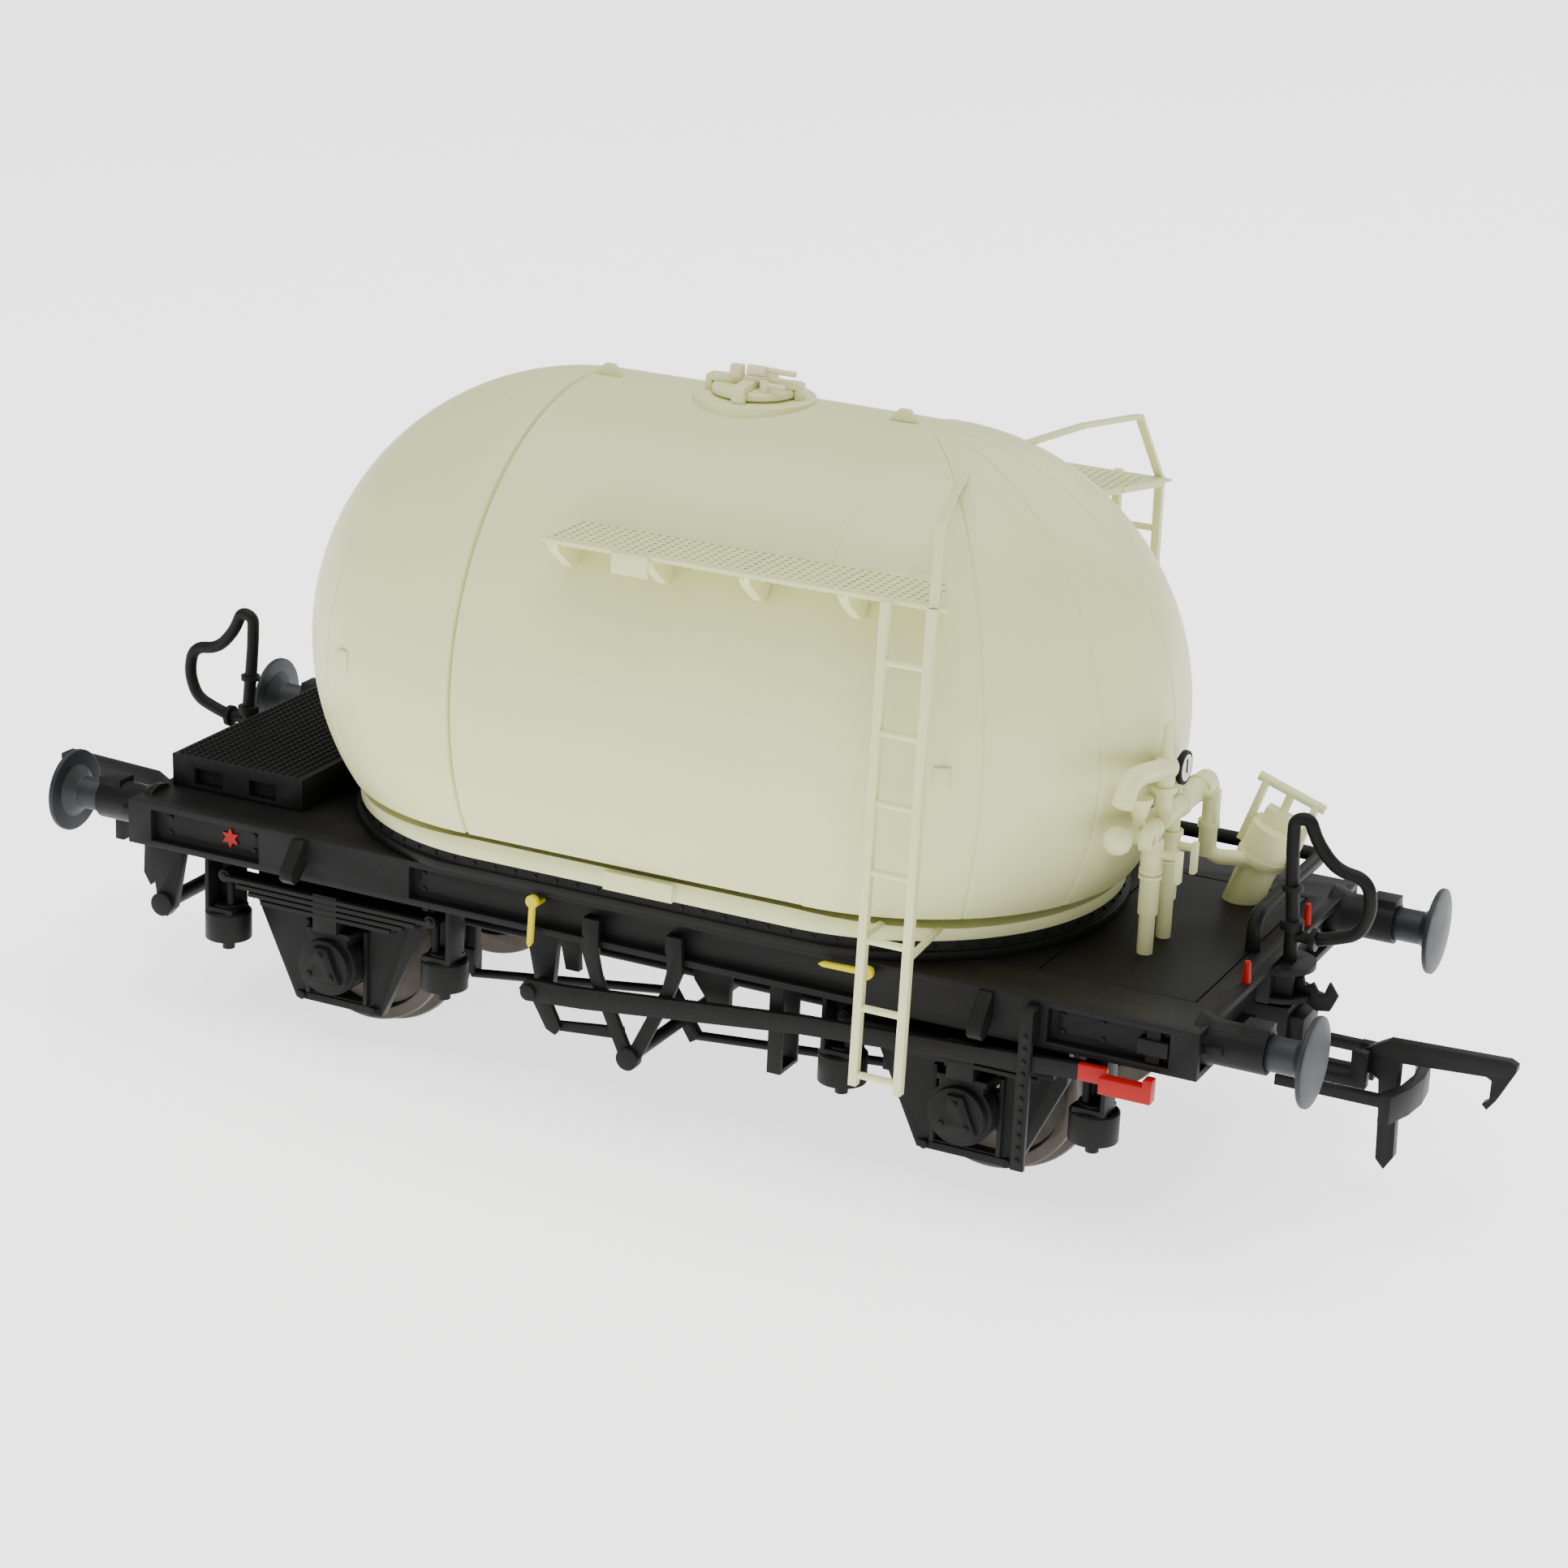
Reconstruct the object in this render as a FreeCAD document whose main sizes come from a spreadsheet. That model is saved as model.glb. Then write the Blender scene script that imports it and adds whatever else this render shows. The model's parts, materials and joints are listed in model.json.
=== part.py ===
"""00-gauge model of a four-wheel bulk powder tank wagon, a ready-to-run railway model.

X runs along the wagon, Y across it, Z up; the origin is midway along the track, at the height of the
wheel flanges. The pipework end is +X. Everything is in millimetres.
"""
import FreeCAD
import Part
import Sketcher
import math
import os
import re
from FreeCAD import Placement, Rotation, Vector

doc = FreeCAD.newDocument("TankWagon")
sheet = doc.addObject("Spreadsheet::Sheet", "Sizes")

# ---------------------------------------------------------------- driving dimensions
SIZES = {
    "track and wheels": dict(
        wheelbase=48.0, back_to_back=14.4, flange_radius=6.6, tread_radius=6.0, flange_width=0.75,
        tyre_width=2.3, tyre_depth=0.95, web_width=0.9, hub_radius=1.9, bush_radius=1.3,
        axle_radius=0.8, axle_length=26.4, point_length=1.4, running_gap=0.1,
        bearing_radius=1.15, bearing_mouth=12.0, bearing_back=13.9),
    "tank": dict(
        tank_radius=18.77, tank_height=28.72, tank_barrel=25.14, tank_wall=1.2, cap_joint=-12.3,
        tray_radius=16.0, tray_barrel=23.6, tray_bottom=17.3, tray_floor=0.8, tray_lip=18.05,
        tray_contact=18.95, tab_left=-1.7, tab_right=3.4, tab_bottom=17.3, tab_proud=0.4,
        ring_radius=16.3, ring_step=0.6, ring_bolt_radius=0.13, ring_bolts_per_side=15),
    "hatch": dict(
        hatch_base_radius=4.15, hatch_base_top=47.75, lid_radius=2.9, lid_thickness=0.5, lid_gap=0.15,
        clamp_reach=3.35, clamp_width=0.9, clamp_thickness=0.5, clamp_angle=6.0),
    "walkways": dict(
        walk_top=41.3, walk_thickness=0.45, walk_left=-5.4, walk_out=19.1, walk_end=20.9, walk_rake=3.0,
        gusset_pitch=6.83, gusset_first=-5.25, gusset_drop=2.0,
        gusset_thickness=0.7, plate_width=2.6, plate_height=1.4, plate_left=-0.2),
    "ladders": dict(
        ladder_left=18.65, ladder_width=3.65, stile_width=0.55, stile_thickness=0.6, ladder_bottom=9.6,
        ladder_lean=1.1, rung_first=10.3, rung_pitch=4.53, rung_radius=0.24, rung_count=7,
        rail_bend=45.9, rail_lean_x=0.9, rail_lean_y=2.4,
        rail_foot_x=17.6, rail_foot_y=4.9, rail_thickness=0.3),
    "underframe": dict(
        frame_length=80.0, frame_width=31.4, deck_top=16.0, deck_thickness=1.2, solebar_bottom=12.8,
        solebar_flange=0.45, solebar_depth=3.1, solebar_recess=0.75, headstock_recess=0.9,
        headstock_depth=1.9, panel_left=27.2, panel_right=38.0, panel_width=21.8, panel_thickness=0.6,
        panel_gap=0.12, box_left=-39.1, box_right=-28.2, box_width=23.2, box_top=18.4,
        ballast_length=24.0, ballast_width=17.0, ballast_height=7.0, screw_x=8.0, screw_radius=0.8,
        screw_head_radius=1.6, screw_head=1.0, screw_length=9.0, screw_clearance=0.1, boss_radius=2.0,
        boss_height=6.0),
    "running gear": dict(
        guard_in=12.6, guard_thickness=0.8, guard_top_half=6.65, guard_low_half=3.5, guard_knee=9.6,
        guard_bottom=2.9, window_half=2.2, window_top=9.3, keep_height=0.75,
        box_half=1.55, box_low=4.9, box_high=9.1, box_out=14.9, boss_out=15.5, boss_size=2.25,
        cover_out=15.9, spring_in=13.7, spring_out=15.2, spring_half=8.37, spring_top=11.7,
        leaf_thickness=0.42, leaf_count=4, leaf_step=1.0, buckle_half=0.95, eye_radius=0.45,
        hanger_x=8.85, pot_radius=1.65, pot_top=8.7, pot_bottom=6.6, pot_y=13.9, nub_bottom=5.7,
        nub_radius=0.45),
    "buffers": dict(
        buffer_spread=26.1, buffer_height=14.65, housing_radius=1.45, housing_front=43.75,
        collar_back=42.0, collar_half=0.85, collar_rise=1.75, shank_radius=1.15, shank_gap=0.05,
        shank_back=42.0, head_radius=2.95, head_back=46.35, buffer_face=47.0, head_crown=14.0,
        bore_back=40.3, coil_radius=0.85, coil_wire=0.14, buffer_travel=0.9),
    "couplings": dict(
        swing_x=33.0, swing_pin=1.0, arm_top=12.6, arm_bottom=11.5, arm_half=1.9, pocket_back=38.2,
        pocket_front=41.3, pocket_half=2.1, pocket_top=13.15, pocket_bottom=10.3, slot_half=1.6,
        slot_top=12.5, slot_bottom=10.9, tongue_gap=0.06, loop_back=41.5, loop_half=4.4,
        loop_corner=49.3, loop_front=50.2, loop_bar=0.75, loop_top=9.45, loop_low=8.75,
        bumper_low=7.7, bumper_top=9.6, hook_pivot_x=46.4, hook_pivot_z=10.7, hook_in=-1.3, hook_out=-0.5,
        pivot_radius=0.35),
    "brake gear": dict(
        lever_in=16.2, lever_thickness=0.5, pivot_x=-6.9, pivot_z=8.95, lever_end=32.5, grip_end=37.6,
        grip_offset=0.7, shaft_x=0.5, shaft_z=5.6, shaft_radius=0.45, vee_in=15.75,
        vee_thickness=0.4, strip_x=29.0, strip_half=0.44, strip_bottom=4.6, strip_in=16.9,
        strip_thickness=0.35, rod_y=8.25, rod_radius=0.32, shoe_gap=0.25, shoe_thickness=1.0,
        end_shaft_x=-37.6, end_shaft_z=8.4, end_shaft_radius=0.55, train_pipe_y=-11.0,
        train_pipe_z=10.5, train_pipe_radius=0.34, handle_out=16.15, handle_thickness=0.35),
    "end fittings": dict(
        hose_x=40.55, hose_radius=0.5, pipe_bend=0.55, standpipe_top=25.2, hose_clamp=42.2,
        hose_foot=17.45, collar_radius=0.78, lamp_x=39.55, lamp_y=6.0, lamp_height=1.5,
        drawhook_thickness=0.5),
    "pipework": dict(
        pipe_x=32.05, front_pipe_y=-4.6, rear_pipe_y=-1.2, pipe_radius=0.72, sleeve_radius=0.9,
        sleeve_bottom=18.75, flange_z=21.45, arch_y=6.3, arch_radius=0.85, port_x=34.2, port_y=8.4,
        port_radius=1.7, port_body=1.35, gauge_radius=1.15, rail_pipe_radius=0.5, rail_x=38.0, rail_height=18.4,
        rail_far=13.1),
}
row = 0
values = {}
for heading, group in SIZES.items():
    row += 1
    sheet.set(f"A{row}", heading)
    for alias, value in group.items():
        row += 1
        sheet.set(f"A{row}", alias.replace("_", " "))
        sheet.set(f"B{row}", str(value))
        sheet.setAlias(f"B{row}", alias)
        values[alias] = value
doc.recompute()


# ---------------------------------------------------------------- helpers: bound primitives
def formula(text):
    """A size expression with each alias pointed at the sheet."""
    return re.sub(r"[a-z_]\w*", lambda m: "Sizes." + m[0] if m[0] in values else m[0], str(text))


TURN = {"x": Rotation(Vector(0, 1, 0), 90), "y": Rotation(Vector(1, 0, 0), -90), "z": Rotation()}


def bind(thing, **links):
    for name, text in links.items():
        thing.setExpression(name, formula(text))


def place(thing, x=0, y=0, z=0, turn=None):
    thing.Placement = Placement(Vector(), turn or Rotation())
    for axis, text in zip("xyz", (x, y, z)):
        thing.setExpression("Placement.Base." + axis, formula(text))
    return thing


def block(name, x, y, z):
    """A box from its low to its high value along each axis."""
    box = doc.addObject("Part::Box", name)
    for side, (low, high) in zip(("Length", "Width", "Height"), (x, y, z)):
        box.setExpression(side, formula(f"({high}) - ({low})"))
    return place(box, x[0], y[0], z[0])


def rod(name, axis, x, y, z, radius, end_radius=None):
    """A cylinder or a cone along one axis, whose value there is a (low, high) pair."""
    spot = dict(x=x, y=y, z=z)
    low, high = spot[axis]
    spot[axis] = low
    if end_radius is None:
        round_bar = doc.addObject("Part::Cylinder", name)
        bind(round_bar, Radius=radius)
    else:
        round_bar = doc.addObject("Part::Cone", name)
        bind(round_bar, Radius1=radius, Radius2=end_radius)
    bind(round_bar, Height=f"({high}) - ({low})")
    return place(round_bar, spot["x"], spot["y"], spot["z"], TURN[axis])


def ball(name, x, y, z, radius):
    sphere = doc.addObject("Part::Sphere", name)
    bind(sphere, Radius=radius)
    return place(sphere, x, y, z)


def closed_sketch(body, plane, points):
    """A closed outline whose corners are all held by bound distances from the origin."""
    sketch = body.newObject("Sketcher::SketchObject", body.Name + "_sketch")
    flat = [f for f in body.Origin.OriginFeatures if f.Role == plane + "_Plane"][0]
    sketch.AttachmentSupport = [(flat, "")]
    sketch.MapMode = "FlatFace"
    count = len(points)
    start = [Vector(math.cos(2 * math.pi * i / count), math.sin(2 * math.pi * i / count), 0)
             for i in range(count)]
    for i in range(count):
        sketch.addGeometry(Part.LineSegment(start[i], start[(i + 1) % count]), False)
    for i in range(count):
        sketch.addConstraint(Sketcher.Constraint("Coincident", i, 2, (i + 1) % count, 1))
    for i, (across, up) in enumerate(points):
        for kind, text, first in (("DistanceX", across, start[i].x), ("DistanceY", up, start[i].y)):
            held = sketch.addConstraint(Sketcher.Constraint(kind, -1, 1, i, 1, first))
            sketch.setExpression(f"Constraints[{held}]", formula(text))
    return sketch


def plate(name, plane, points, span):
    """A padded outline that fills span = (low, high) along the plane's normal."""
    body = doc.addObject("PartDesign::Body", name)
    sketch = closed_sketch(body, plane, points)
    pad = body.newObject("PartDesign::Pad", name + "_pad")
    pad.Profile = sketch
    low, high = span
    bind(pad, Length=f"({high}) - ({low})")
    if plane == "XZ":
        return place(body, y=high)
    return place(body, z=low) if plane == "XY" else place(body, x=low)


def turned(name, axis, x, y, z, points):
    """A revolved outline of (along, radius) corners about its own axis."""
    body = doc.addObject("PartDesign::Body", name)
    sketch = closed_sketch(body, "XZ", points)
    revolution = body.newObject("PartDesign::Revolution", name + "_revolution")
    revolution.Profile = sketch
    revolution.ReferenceAxis = (sketch, ["H_Axis"])
    revolution.Angle = 360
    turn = {"x": Rotation(), "y": Rotation(Vector(0, 0, 1), 90), "z": Rotation(Vector(0, 1, 0), -90)}
    return place(body, x, y, z, turn[axis])


def fuse(name, *pieces):
    joined = doc.addObject("Part::MultiFuse", name)
    joined.Shapes = list(pieces)
    joined.Refine = True
    return joined


def cut(name, base, *tools):
    tool = tools[0] if len(tools) == 1 else fuse(name + "_tools", *tools)
    trimmed = doc.addObject("Part::Cut", name)
    trimmed.Base = base
    trimmed.Tool = tool
    return trimmed


def overlap(name, *pieces):
    shared = doc.addObject("Part::MultiCommon", name)
    shared.Shapes = list(pieces)
    return shared


def mirror(name, source, axis):
    twin = doc.addObject("Part::Mirroring", name)
    twin.Source = source
    twin.Normal = {"x": (1, 0, 0), "y": (0, 1, 0)}[axis]
    return twin


def group(name, *pieces):
    """Separate solids that share one node."""
    bundle = doc.addObject("Part::Compound", name)
    bundle.Links = list(pieces)
    return bundle


def feature(name, shape):
    """A shape made in code from the sheet's values."""
    made = doc.addObject("Part::Feature", name)
    made.Shape = shape
    return made


parts = []


def piece(label, thing):
    thing.Label = label
    parts.append(thing)
    return thing


def obround(name, barrel, radius, z):
    """A flat slab with round ends, centred on the origin."""
    return fuse(name, block(name + "_middle", (f"-({barrel})/2", f"({barrel})/2"),
                            (f"-({radius})", f"{radius}"), z),
                rod(name + "_left", "z", f"-({barrel})/2", 0, z, radius),
                rod(name + "_right", "z", f"({barrel})/2", 0, z, radius))


def capsule(name, radius):
    """The tank's outline: a barrel between two half spheres."""
    return fuse(name, rod(name + "_barrel", "x", ("-tank_barrel/2", "tank_barrel/2"), 0, "tank_height",
                          radius),
                ball(name + "_left", "-tank_barrel/2", 0, "tank_height", radius),
                ball(name + "_right", "tank_barrel/2", 0, "tank_height", radius))


ENDS = {"left": -1, "right": 1}
SIDES = {"near": -1, "far": 1}


# ---------------------------------------------------------------- tank: moulded shell, cap and tray
outer = capsule("tank_outer", "tank_radius")
hollow = cut("tank_hollow", outer, capsule("tank_inner", "tank_radius - tank_wall"))
tray_top = "tray_bottom + tray_floor"
tank_shell = overlap("tank_shell", hollow, block(
    "tank_body_side", ("cap_joint", "tank_barrel/2 + tank_radius + 1"),
    ("-tank_radius - 1", "tank_radius + 1"), (tray_top, "tank_height + tank_radius + 1")))
piece("tank_end_cap", overlap("tank_end_cap", hollow, block(
    "tank_cap_side", ("-tank_barrel/2 - tank_radius - 1", "cap_joint"),
    ("-tank_radius - 1", "tank_radius + 1"), (tray_top, "tank_height + tank_radius + 1"))))

# The tray closes the bottom of the tank. Its lip slopes up to the tank's side, and two hollow bosses
# take the screws from below.
slope = []
for end, sign in ENDS.items():
    slope.append(rod(f"tray_slope_{end}", "z", f"{sign}*tray_barrel/2", 0, ("tray_lip", "tray_contact"),
                     "tray_radius", "tray_radius - 0.35"))
slope.append(plate("tray_slope_middle", "YZ", [
    ("-tray_radius", "tray_lip"), ("tray_radius", "tray_lip"),
    ("tray_radius - 0.35", "tray_contact"), ("-tray_radius + 0.35", "tray_contact")],
    ("-tray_barrel/2", "tray_barrel/2")))
tray_solid = fuse("tray_solid", obround("tray_slab", "tray_barrel", "tray_radius",
                                        ("tray_bottom", "tray_lip")), *slope)
tray_ring = cut("tray_ring", tray_solid, outer)
tray_plate = overlap("tray_plate", obround("tray_plate_slab", "tray_barrel", "tray_radius",
                                           ("tray_bottom", tray_top)), tray_solid)
tab = block("tray_tab", ("tab_left", "tab_right"), ("tray_radius", "tray_radius + tab_proud"),
            ("tab_bottom", "tray_lip + 0.5"))
bosses = [rod(f"tray_boss_{end}", "z", f"{sign}*screw_x", 0,
              (tray_top, f"{tray_top} + boss_height"), "boss_radius") for end, sign in ENDS.items()]
pilots = [rod(f"tray_pilot_{end}", "z", f"{sign}*screw_x", 0,
              ("tray_bottom - 1", f"{tray_top} + boss_height + 1"), "screw_radius")
          for end, sign in ENDS.items()]
piece("tank_tray", cut("tank_tray", fuse("tray_joined", tray_ring, tray_plate, tab,
                                         mirror("tray_tab_near", tab, "y"), *bosses), *pilots))

# The black bolting ring under the tray: a stepped obround whose flange stops at the solebar's face.
ring_flange = overlap("ring_flange", obround(
    "ring_flange_full", "tray_barrel", "ring_radius", ("deck_top", "deck_top + ring_step")),
    block("ring_flange_limit", ("-frame_length/2", "frame_length/2"),
          ("-frame_width/2 - 0.4", "frame_width/2 + 0.4"), ("deck_top", "tray_bottom")))
ring_step = obround("ring_upper", "tray_barrel", "tray_radius - 0.1",
                    ("deck_top + ring_step", "tray_bottom"))
ring_holes = [rod(f"ring_hole_{end}", "z", f"{sign}*screw_x", 0, ("deck_top - 1", "tray_bottom + 1"),
                  "screw_radius + screw_clearance") for end, sign in ENDS.items()]
piece("bolting_ring", cut("bolting_ring", fuse("ring_joined", ring_flange, ring_step), *ring_holes))

# Small bolts stand out from the ring's upper step, along both sides and round both ends.
v = sheet
bolt_seat = v.tray_radius - 0.1
bolt_z = (v.deck_top + v.ring_step + v.tray_bottom) / 2
bolts = []
straight = v.tray_barrel
side_pitch = straight / v.ring_bolts_per_side
end_angle = side_pitch / bolt_seat
places = []
for side in (-1, 1):
    for i in range(int(v.ring_bolts_per_side) + 1):
        x = -straight / 2 + i * side_pitch
        if not v.tab_left - 0.4 < x < v.tab_right + 0.4:
            places.append((Vector(x, side * bolt_seat, bolt_z), Vector(0, side, 0)))
for end in (-1, 1):
    count = int(math.pi / end_angle)
    for i in range(1, count):
        around = -math.pi / 2 + i * math.pi / count
        out = Vector(end * math.cos(around), math.sin(around), 0)
        places.append((Vector(end * straight / 2, 0, bolt_z) + out * bolt_seat, out))
for spot, out in places:
    bolts.append(Part.makeCylinder(v.ring_bolt_radius, v.ring_bolt_radius, spot, out))
piece("ring_bolts", feature("ring_bolts", Part.Compound(bolts)))

# ---------------------------------------------------------------- hatch and lifting lugs on the tank
top = "(tank_height + tank_radius)"
hatch_ring = cut("hatch_ring", rod("hatch_ring_disc", "z", 0, 0, (f"{top} - 0.9", "hatch_base_top"),
                                   "hatch_base_radius"), outer)
piece("tank_body", fuse("tank_body", tank_shell, hatch_ring))
lid_low = "hatch_base_top + lid_gap"
lid_high = "hatch_base_top + lid_gap + lid_thickness"
neck = rod("hatch_neck", "z", 0, 0, ("hatch_base_top", lid_low), "lid_radius - 0.35")
lid_disc = turned("hatch_disc", "z", 0, 0, lid_low, [
    (0, 0), ("lid_thickness", 0), ("lid_thickness", "lid_radius - 0.12"),
    ("lid_thickness - 0.12", "lid_radius"), (0, "lid_radius")])
piece("hatch_lid", fuse("hatch_lid", neck, lid_disc))
# Four clamp arms lie across the lid and hook down over its rim to the base.
arms = []
for quarter in range(4):
    arm = plate(f"clamp_{quarter}", "XZ", [
        (0, lid_high), ("clamp_reach - 0.35", lid_high), ("lid_radius + 0.03", f"{lid_high} - 0.1"),
        ("lid_radius + 0.03", "hatch_base_top"), ("clamp_reach + 0.1", "hatch_base_top"),
        ("clamp_reach + 0.05", f"{lid_high} + clamp_thickness - 0.1"),
        ("clamp_reach - 0.25", f"{lid_high} + clamp_thickness"),
        (0, f"{lid_high} + clamp_thickness")], ("-clamp_width/2", "clamp_width/2"))
    arm.Placement = Placement(Vector(), Rotation(Vector(0, 0, 1), v.clamp_angle + 90 * quarter))
    arm.setExpression("Placement.Base.x", formula(f"-clamp_width/2 * sin(clamp_angle + {90 * quarter})"))
    arm.setExpression("Placement.Base.y", formula(f"clamp_width/2 * cos(clamp_angle + {90 * quarter})"))
    arms.append(arm)
piece("hatch_clamps", fuse("hatch_clamps", *arms))
cross_top = f"({lid_high} + clamp_thickness)"
piece("hatch_valve", fuse(
    "hatch_valve",
    rod("valve_stem", "z", 0.6, -0.7, (cross_top, f"{cross_top} + 0.9"), 0.28),
    rod("valve_body", "x", (-0.2, 1.1), -0.7, f"{cross_top} + 0.6", 0.38),
    rod("valve_bar", "x", (0.9, 3.1), -0.35, f"{cross_top} + 0.65", 0.2),
    block("valve_foot", (-0.1, 1.2), (-1.2, -0.2), (cross_top, f"{cross_top} + 0.3")),
    rod("low_valve_body", "z", 1.5, -1.7, (lid_high, f"{lid_high} + 0.75"), 0.32),
    rod("low_valve_bar", "x", (1.4, 3.0), -1.7, f"{lid_high} + 0.5", 0.17),
    block("back_bracket", (-1.5, -0.7), (-0.9, -0.2), (cross_top, f"{cross_top} + 0.8"))))
lug = plate("lug_right", "XZ", [
    (10.1, f"{top} - 0.3"), (11.9, f"{top} - 0.3"), (11.25, f"{top} + 0.8"), (10.75, f"{top} + 0.8")],
    (-0.35, 0.35))
side_lug = block("side_lug_right", ("tank_barrel/2 + 8.9", "tank_barrel/2 + 9.9"),
                 ("tank_radius - 3.2", "tank_radius - 2.2"), (28.8, 30.2))
side_lugs = [side_lug, mirror("side_lug_left", side_lug, "x")]
side_lugs += [mirror(f"{one.Name}_near", one, "y") for one in list(side_lugs)]
piece("lifting_lugs", cut("lifting_lugs", group("lugs_raw", lug, mirror("lug_left", lug, "x"),
                                                *side_lugs), outer))

# ---------------------------------------------------------------- walkways, ladders and handrails
walk_low = "walk_top - walk_thickness"
deck_plan = plate("walk_sheet_full", "XY", [
    ("walk_left", 8), ("walk_end - 2.2", 8), ("walk_end - 1.7", 11), ("walk_end + walk_rake - 0.9", "walk_out"),
    ("walk_left", "walk_out")], (walk_low, "walk_top"))
gussets = []
for i in range(4):
    gussets.append(plate(f"walk_gusset_{i}", "YZ", [
        ("tank_radius - 5.5", walk_low), ("walk_out - 0.6", walk_low), ("walk_out - 0.9", f"{walk_low} - 0.6"),
        ("tank_radius - 2.4", f"{walk_low} - gusset_drop"), ("tank_radius - 3.6", f"{walk_low} - gusset_drop - 0.1")],
        (f"gusset_first + {i}*gusset_pitch", f"gusset_first + {i}*gusset_pitch + gusset_thickness")))
walk_far = cut("walkway_far", fuse("walk_joined", deck_plan, *gussets), outer)
piece("walkway_far", walk_far)
piece("walkway_near", mirror("walkway_near", walk_far, "y"))
number_plate = block("number_plate_far", ("plate_left", "plate_left + plate_width"),
                     ("walk_out", "walk_out + 0.25"), (f"walk_top - plate_height", "walk_top"))
piece("number_plates", group("number_plates", number_plate, mirror("number_plate_near", number_plate, "y")))

# A ladder hangs from each walkway's edge and leans out towards its foot.
lean = "ladder_lean"
ladder_y = "walk_out"
stiles = []
for i, offset in enumerate(("ladder_left", "ladder_left + ladder_width - stile_width")):
    stiles.append(plate(f"ladder_stile_{i}", "YZ", [
        (ladder_y, "walk_top"), (f"{ladder_y} + stile_thickness", "walk_top"),
        (f"{ladder_y} + stile_thickness + {lean}", "ladder_bottom"), (f"{ladder_y} + {lean}", "ladder_bottom")],
        (offset, f"{offset} + stile_width")))
rungs = []
for i in range(int(v.rung_count)):
    height = f"(rung_first + {i}*rung_pitch)"
    out = f"{ladder_y} + stile_thickness/2 + {lean}*(walk_top - {height})/(walk_top - ladder_bottom)"
    rungs.append(rod(f"ladder_rung_{i}", "x", ("ladder_left + stile_width/2", "ladder_left + ladder_width - stile_width/2"),
                     out, height, "rung_radius"))


def strut(name, start, end, radius):
    """A round bar between two points."""
    start, end = Vector(*start), Vector(*end)
    return feature(name, Part.makeCylinder(radius, (end - start).Length, start, end - start))


stay_y = v.walk_out + v.stile_thickness / 2 + v.ladder_lean * 0.75
tray_side = v.tray_radius - 1.5
stays = [strut("ladder_stay_right", (v.ladder_left + v.ladder_width - 0.3, stay_y, 18.6),
               (v.ladder_left + v.ladder_width - 1.4, 12.2, 18.0), 0.24),
         strut("ladder_stay_left", (v.ladder_left + 0.3, stay_y, 19.6),
               (v.ladder_left - 1.3, tray_side - 1.4, 18.0), 0.24)]
ladder_far = cut("ladder_far", fuse("ladder_joined", *stiles, *rungs, *stays), tray_solid, outer)
piece("ladder_far", ladder_far)
piece("ladder_near", mirror("ladder_near", ladder_far, "y"))

# The handrail is one flat strip: up from the ladder's corner, bent, and in to the top of the tank.
post_x = v.ladder_left + v.ladder_width - v.stile_width / 2
post_y = v.walk_out + v.rail_thickness / 2
rail_line = [Vector(post_x, post_y, v.walk_top),
             Vector(post_x - v.rail_lean_x, post_y - v.rail_lean_y, v.rail_bend),
             Vector((post_x - v.rail_lean_x + v.rail_foot_x) / 2, (post_y - v.rail_lean_y + v.rail_foot_y) / 2,
                    v.rail_bend + v.rail_thickness),
             Vector(v.rail_foot_x, v.rail_foot_y, v.rail_bend)]
rail_bars = []
for i, (start, end) in enumerate(zip(rail_line, rail_line[1:])):
    run = end - start
    bar = Part.makeBox(run.Length + v.rail_thickness / 4, v.stile_width, v.rail_thickness,
                       Vector(0, -v.stile_width / 2, -v.rail_thickness / 2))
    bar.Placement = Placement(start, Rotation(run, Vector(1, 0, 0), Vector(), "XYZ"))
    rail_bars.append(feature(f"handrail_bar_{i}", bar))
rail_room = block("handrail_room", (0, "frame_length/2"), (0, "frame_width"), ("walk_top", "walk_top + 9"))
rail_far = cut("handrail_far", overlap("handrail_limit", fuse("handrail_joined", *rail_bars), rail_room), outer)
piece("handrails", group("handrails", rail_far, mirror("handrail_near", rail_far, "y")))

# ---------------------------------------------------------------- underframe: deck, solebars, headstocks
half, side = "frame_length/2", "frame_width/2"
deck_low = "deck_top - deck_thickness"
deck = block("deck_slab", (f"-{half}", half), (f"-{side}", side), (deck_low, "deck_top"))
solebar = block("solebar", (f"-{half} + headstock_depth", f"{half} - headstock_depth"),
                (f"{side} - solebar_depth", side), ("solebar_bottom", deck_low))
headstock = block("headstock", (f"{half} - headstock_depth", half), (f"-{side}", side),
                  ("solebar_bottom", deck_low))
coupling_seat = block("coupling_seat", ("swing_x - 2", "swing_x + 2"), (-3, 3), ("arm_top + 0.1", deck_low))
swing_pin = rod("swing_pin", "z", "swing_x", 0, ("arm_bottom - 0.3", deck_low), "swing_pin")
pin_head = rod("swing_pin_head", "z", "swing_x", 0, ("arm_bottom - 0.5", "arm_bottom - 0.1"), "swing_pin + 0.4")
hook_casing = [rod(f"hook_casing_{i}", "z", half, 0, span, 2.2)
               for i, span in enumerate(((13.35, 13.7), (15.3, 15.7)))]
hook_ribs = [block(f"hook_rib_{i}", (half, f"{half} + 1.2"), (across, across + 0.35), (13.5, 15.5))
             for i, across in enumerate((-1.3, -0.18, 0.95))]
end_parts = [headstock, coupling_seat, swing_pin, pin_head, *hook_casing, *hook_ribs]
frame_solid = fuse("frame_solid", deck, solebar, mirror("solebar_near", solebar, "y"), *end_parts,
                   *[mirror(f"{one.Name}_left", one, "x") for one in end_parts])
channel = ("solebar_bottom + solebar_flange", "deck_top - solebar_flange")
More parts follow.
